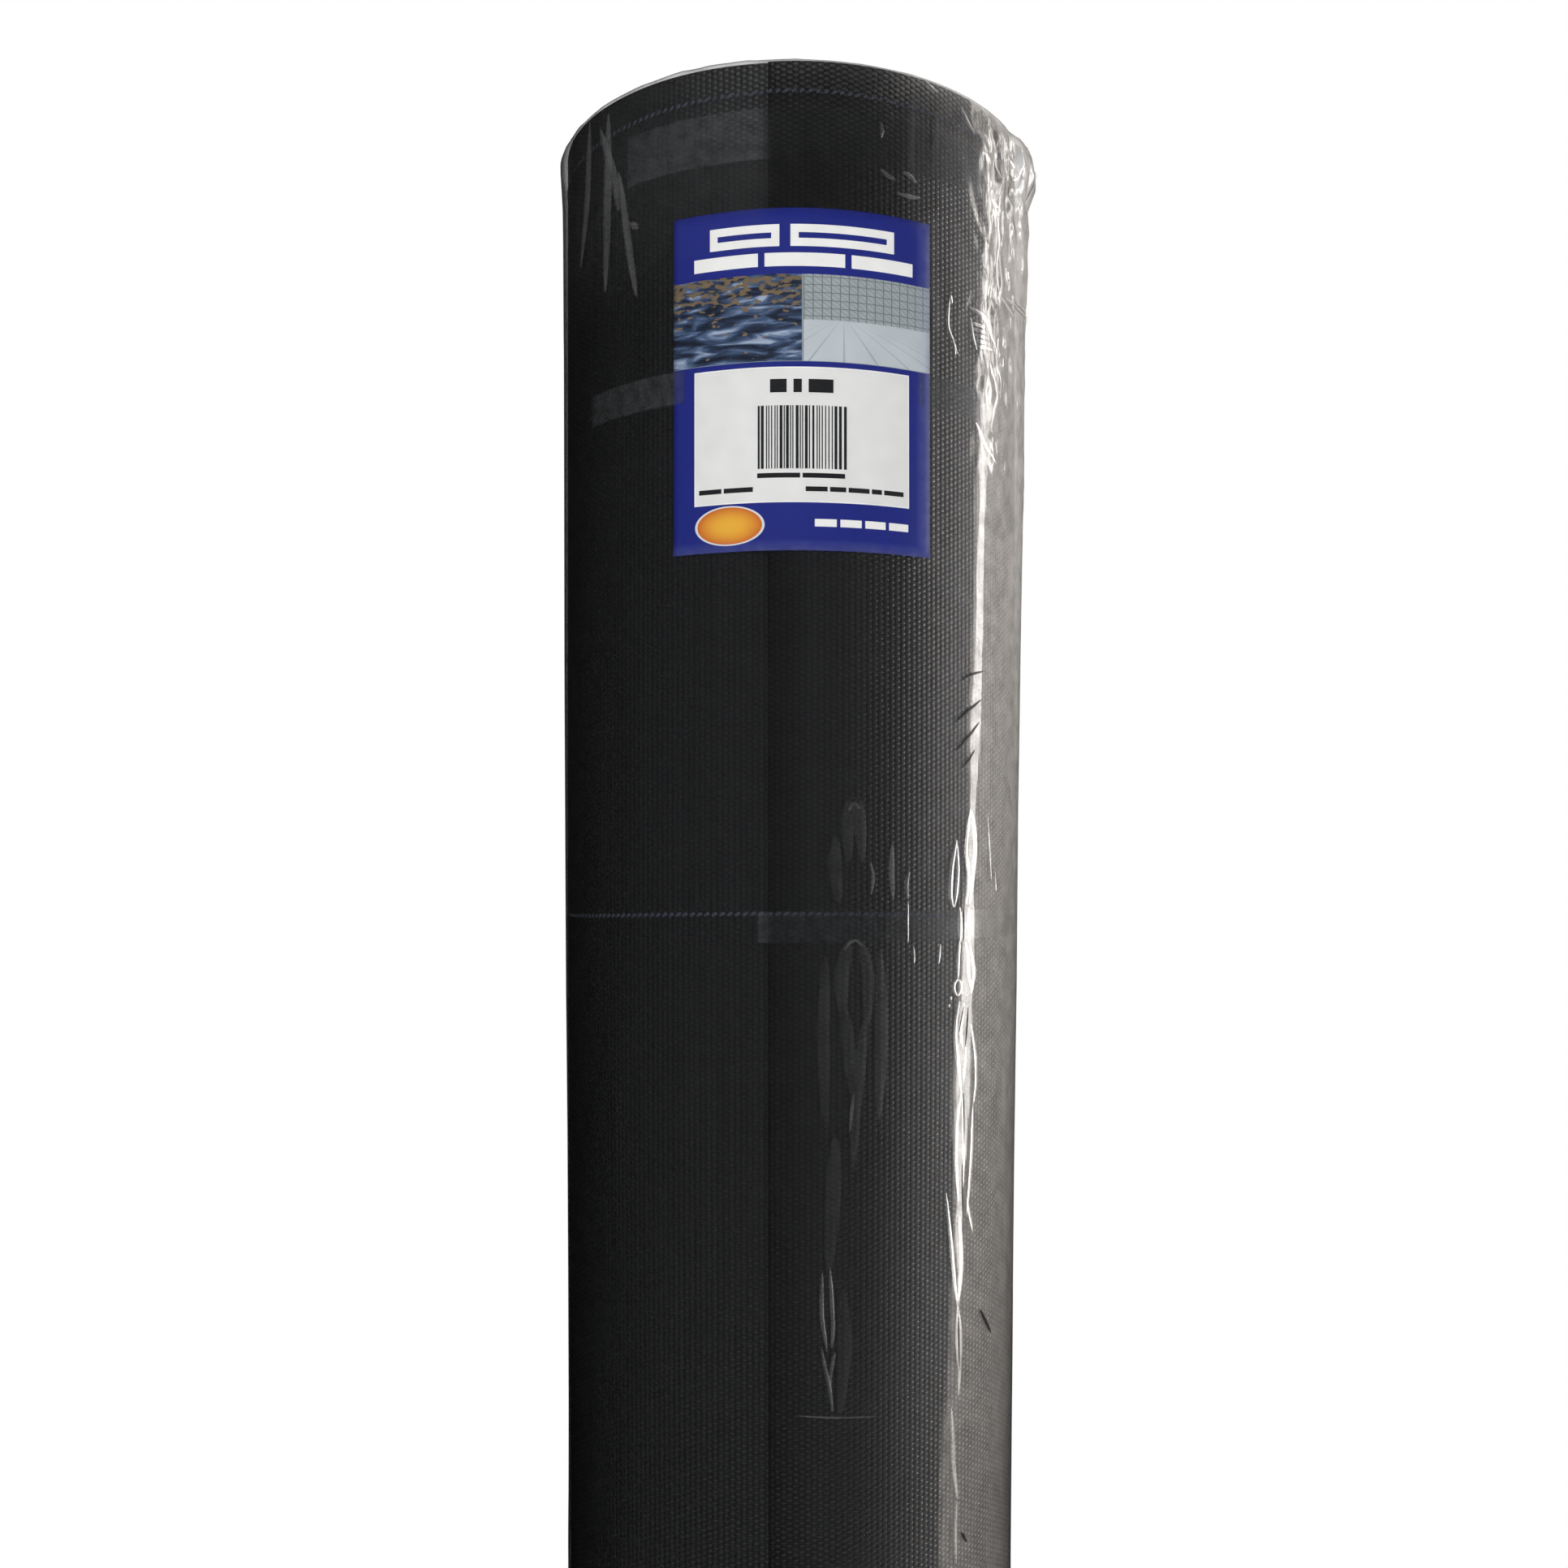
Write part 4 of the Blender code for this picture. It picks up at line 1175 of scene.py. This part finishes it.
# Pinched folds
# Where the sleeve was too wide, its film pinched into thin sharp folds that stand up from it.
# Each is the film itself, doubled, and catches the light along one flank.
# Half width in mm; how steep its flanks are, as a share of the slope that mirrors the lamp; and
# the pixels that it passes in the photo.
PINCHES = (
    # Loops on both sides of the bright line, above the tape
    (1.21, 1.0, (1179, 1035), (1173, 1067), (1171, 1104), (1175, 1118)),
    (0.99, 1.0, (1179, 1035), (1181, 1072), (1179, 1101), (1176, 1118)),
    (1.10, 1.0, (1196, 997), (1192, 1024), (1190, 1052), (1195, 1082), (1191, 1114)),
    (1.32, 1.0, (1196, 997), (1201, 1020), (1202, 1046), (1199, 1082), (1195, 1114)),
    # Under the tape and below it
    (1.54, 1.0, (1183, 1118), (1184, 1161)),
    (1.54, 1.0, (1194, 1118), (1195, 1161)),
    (0.99, 1.05, (1183, 1159), (1181, 1182), (1181, 1205)),
    (0.99, 1.05, (1190, 1161), (1194, 1180), (1194, 1200), (1198, 1218)),
    (1.10, 1.05, (1196, 1165), (1202, 1196), (1198, 1224)),
    (0.88, 1.05, (1181, 1206), (1176, 1212), (1176, 1221), (1180, 1227)),
    (0.88, 1.05, (1181, 1206), (1185, 1213), (1184, 1222), (1180, 1227)),
    (0.77, 1.05, (1169, 1237), (1171, 1241)),
    (0.77, 1.05, (1171, 1228), (1173, 1232)),
    # The wide bright stretch
    (1.10, 1.0, (1183, 1234), (1179, 1256), (1178, 1282), (1183, 1316), (1186, 1346)),
    (0.99, 1.0, (1189, 1236), (1184, 1268), (1188, 1290)),
    (0.99, 1.05, (1198, 1262), (1204, 1299), (1205, 1333), (1202, 1360)),
    (0.88, 1.6, (1192, 1288), (1189, 1335)),
    (1.10, 1.0, (1187, 1346), (1181, 1376), (1179, 1420), (1183, 1480)),
    (0.88, 1.6, (1188, 1350), (1190, 1420), (1188, 1470)),
    (0.99, 1.05, (1201, 1362), (1200, 1420), (1194, 1500)),
    # Below it
    (0.99, 1.0, (1168, 1470), (1174, 1527), (1179, 1579), (1183, 1609)),
    (0.77, 1.05, (1194, 1476), (1198, 1498), (1202, 1519)),
    (1.21, 1.0, (1185, 1500), (1188, 1560), (1184, 1606)),
    (1.10, 1.0, (1183, 1609), (1187, 1640), (1187, 1677), (1185, 1720)),
    (0.88, 1.05, (1183, 1612), (1182, 1650), (1185, 1690)),
    (1.32, 1.8, (1176, 1737), (1178, 1770), (1179, 1806), (1185, 1849)),
    (1.10, 2, (1184, 1850), (1182, 1890), (1184, 1930)),
    # The line and the zipper beside the label
    (0.88, 1.0, (1171, 364), (1168, 384), (1168, 404), (1174, 420), (1180, 437)),
    (0.77, 1.0, (1175, 421), (1177, 438)),
    (0.77, 1.05, (1171, 362), (1173, 374)),
    (1.10, 1.5, (1194, 379), (1207, 386), (1216, 396), (1222, 414), (1228, 437)),
    (0.88, 1.8, (1196, 391), (1198, 410), (1203, 432)),
    (0.66, 3, (1197, 398), (1214, 404)),
    (0.66, 3, (1197, 405), (1217, 411)),
    (0.66, 3, (1198, 412), (1219, 418)),
    (0.66, 3, (1199, 419), (1221, 425)),
    (0.66, 3, (1201, 426), (1224, 432)),
    (1.32, 1.4, (1219, 447), (1225, 470), (1228, 490), (1221, 512)),
    (0.88, 1.6, (1226, 450), (1232, 470), (1230, 494)),
    (0.88, 1.6, (1232, 368), (1240, 378), (1246, 390)),
    (0.88, 1.6, (1238, 366), (1248, 380), (1256, 392)),
    (0.88, 1.6, (1246, 372), (1254, 386), (1262, 402)),
    (0.88, 1.8, (1202, 520), (1212, 545), (1226, 572)),
    # The bright line's upper end
    (0.99, 1.5, (1221, 246), (1227, 255), (1232, 264)),
    (1.32, 1.4, (1226, 266), (1231, 296), (1227, 330), (1230, 366)),
    (1.10, 1.5, (1209, 188), (1216, 196), (1220, 203)),
    (0.88, 1.6, (1228, 190), (1226, 206), (1231, 222)),
    (0.88, 1.6, (1240, 196), (1246, 214), (1250, 226)),
    (0.88, 1.8, (1264, 226), (1262, 238), (1262, 252)),
    (0.88, 1.8, (1268, 210), (1270, 222)),
    # Thin uprights in the dark cloth beside the bright line
    (0.66, 0.95, (1119, 1110), (1118, 1136), (1119, 1162)),
    (0.66, 0.95, (1125, 1163), (1127, 1188)),
    (0.62, 1.05, (1159, 1163), (1157, 1188)),
    (0.66, 2.2, (1121, 1072), (1117, 1090), (1119, 1108)),
    (0.88, 1.4, (1217, 1002), (1220, 1050), (1222, 1083)),
    (0.77, 1.4, (1226, 1070), (1228, 1098)),
)
# Fine creases, which show by their whitened film
CREASES = (
    # In the middle
    (0.9, 0.9, (1014, 1570), (1013, 1620), (1020, 1668)),
    (0.8, 1.0, (1013, 1662), (1018, 1690), (1024, 1712), (1027, 1742)),
    (0.8, 0.9, (1030, 1668), (1025, 1690), (1022, 1720)),
    (0.9, 1.0, (1023, 1562), (1026, 1600), (1028, 1640), (1026, 1662)),
    (0.7, 0.6, (1046, 1000), (1049, 992), (1055, 990), (1060, 997)),
    (0.6, 0.6, (1073, 1062), (1077, 1080), (1074, 1102)),
    (0.6, 0.6, (1040, 1172), (1046, 1162), (1055, 1158), (1064, 1166)),
    (0.6, 0.6, (1053, 1346), (1050, 1370), (1048, 1396)),
    (0.35, 0.4, (980, 1746), (1030, 1749), (1085, 1747)),
    (0.9, 0.8, (1121, 1072), (1117, 1090), (1119, 1108)),
    (1.2, 0.5, (1100, 1040), (1099, 1075), (1101, 1108)),
    # The upper left
    (2.0, 0.12, (762, 212), (768, 258), (775, 312), (784, 366)),
    (2.6, 0.12, (750, 140), (749, 240), (746, 360)),
    (2.6, 0.12, (727, 150), (724, 246), (716, 330)),
    (2.2, 0.12, (741, 160), (756, 215), (762, 260)),
    (1.6, 0.15, (775, 275), (787, 281)),
    # The upper right, left of the bright line
    (0.9, 1.0, (1140, 100), (1147, 108), (1155, 114)),
    (0.9, 1.0, (1182, 130), (1190, 146), (1200, 165)),
    (0.8, 1.0, (1085, 150), (1088, 160), (1086, 170)),
    (0.8, 0.8, (1085, 208), (1094, 216), (1104, 222)),
    (0.8, 0.8, (1105, 238), (1120, 243), (1135, 244)),
    (0.8, 0.8, (1112, 212), (1122, 218), (1130, 226)),
)
# Slack film in the middle, which stands off the cloth in soft uprights
BLISTERS = (
    (3.0, 0.30, (1046, 1062), (1044, 1020), (1052, 984), (1060, 1010), (1063, 1062)),
    (2.4, 0.30, (1030, 1030), (1029, 1070), (1034, 1112)),
    (2.8, 0.30, (1038, 1250), (1037, 1200), (1046, 1158)),
    (2.4, 0.30, (1062, 1160), (1071, 1200), (1070, 1262)),
    (2.6, 0.30, (1040, 1236), (1047, 1300), (1055, 1360)),
    (2.2, 0.30, (1068, 1250), (1062, 1300), (1056, 1356), (1052, 1440)),
    (2.4, 0.30, (1018, 1180), (1014, 1270), (1018, 1390)),
    (2.8, 0.30, (1030, 1400), (1027, 1480), (1022, 1570)),
    (2.4, 0.30, (1085, 1170), (1088, 1270), (1084, 1380)),
    (2.6, 0.30, (1040, 1590), (1043, 1660), (1036, 1745)),
)
# Sharp folds cut across the film where the light is brightest. Their film lets only a third through,
# painted shade where the highlight breaks along them.
CUTS = (
    (0.55, 3.0, (1185, 838), (1196, 831), (1211, 827)),
    (0.65, 3.0, (1177, 890), (1192, 876), (1209, 862)),
    (0.65, 3.0, (1179, 924), (1193, 908), (1207, 889)),
    (0.55, 3.0, (1186, 946), (1194, 936), (1201, 924)),
    (0.50, 3.0, (1189, 1238), (1186, 1255), (1183, 1272)),
    (0.50, 3.0, (1194, 1240), (1193, 1265), (1191, 1290)),
    (0.50, 3.0, (1189, 1346), (1190, 1383), (1190, 1420)),
    (0.50, 3.0, (1188, 1430), (1188, 1465), (1189, 1500)),
    (0.45, 3.0, (1188, 1118), (1188, 1160)),
    (0.50, 3.0, (1184, 1612), (1185, 1650), (1186, 1690)),
    (0.90, 3.0, (1212, 1614), (1219, 1628), (1226, 1643)),
    (0.70, 3.0, (1190, 1890), (1194, 1896), (1198, 1903)),
)
LAMP_BEARING = math.radians(100.5)
LAMP_LEAN = math.radians(11.7)
LAMP_AWAY = 2.45
STEEPEST, SHALLOWEST = 1.4, 0.05
PINCH_STEPS = 6
PINCH_PROFILE = ((-1, -0.3), (-1, 0.0), (-0.25, 0.85), (0, 1.0), (0.25, 0.85), (1, 0.0), (1, -0.3))


def mirror_slope(angle, height):
    """Slope that the film needs at a place to mirror the warm panel into the camera."""
    place = Vector((FILM_RADIUS * math.sin(angle), -FILM_RADIUS * math.cos(angle), height))
    to_camera = CAMERA_PLACE - place
    camera_bearing = math.atan2(to_camera.x, -to_camera.y)
    lamp_height = height - to_camera.z / to_camera.xy.length * LAMP_AWAY
    lamp = LAMP_BEARING + LAMP_LEAN * (lamp_height - LEAN_FROM)
    return abs(math.tan((lamp + camera_bearing - 2 * angle) / 2))


def fold_over(name, lines, material):
    """All the folds of a list as one piece, each tapering to its ends and closed underneath."""
    folds = bmesh.new()
    for half_width, steepness, *pixels in lines:
        points = np.array([on_roll(x, y) for x, y in pixels])
        along = np.linspace(0, len(points) - 1, (len(points) - 1) * PINCH_STEPS + 1)
        path = [np.interp(along, np.arange(len(points)), part) for part in points.T]
        path = np.stack(path, axis=-1)
        for _ in range(3):
            path[1:-1] = (path[:-2] + 2 * path[1:-1] + path[2:]) / 4
        way = np.gradient(path * (FILM_RADIUS, 1), axis=0)
        way = way / np.maximum(np.linalg.norm(way, axis=1, keepdims=True), 1e-9)
        share = along / along[-1]
        wide = half_width * MM * np.clip(4 * share * (1 - share), 0.02, 1) ** 0.5
        slopes = [steepness * max(SHALLOWEST, mirror_slope(*spot)) for spot in path]
        slopes = np.minimum(STEEPEST, slopes)
        seat = stand_off(path[:, 0], path[:, 1])
        rows = []
        for across, up in PINCH_PROFILE + PINCH_PROFILE[:1]:
            turned_by = path[:, 0] - across * wide * way[:, 1] / FILM_RADIUS
            risen_by = path[:, 1] + across * wide * way[:, 0]
            rows.append(round_roll(seat + up * slopes * wide, turned_by, risen_by))
        places = np.stack(rows)
        maps = both(along[None, :] * MM, np.arange(len(rows))[:, None] * MM)
        fold = bent_sheet("fold", places, maps, material)
        folds.from_mesh(fold.data)
        bpy.data.objects.remove(fold)
    bmesh.ops.remove_doubles(folds, verts=folds.verts, dist=1e-7)
    bmesh.ops.holes_fill(folds, edges=[e for e in folds.edges if e.is_boundary])
    bmesh.ops.recalc_face_normals(folds, faces=folds.faces)
    made = piece(name, folds, material, 60)
    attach(made, "root")
    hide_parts("film_sleeve")


fold_over("film_sleeve_pinches", PINCHES, clear_film("doubled_polyethylene_film", 4, 0.1, 0.004))
fold_over("film_sleeve_creases", CREASES, clear_film("creased_polyethylene_film", 2.0, 0.25, 0.030))
fold_over("film_sleeve_blisters", BLISTERS, clear_film("slack_polyethylene_film", 1.4, 0.3, 0.007))
# The cut folds' film is tinted dark: painted shade.
fold_over("film_sleeve_cuts", CUTS, clear_film("shade_darkened_polyethylene_film", 0.5, 0.3, 0.0, 0.35))
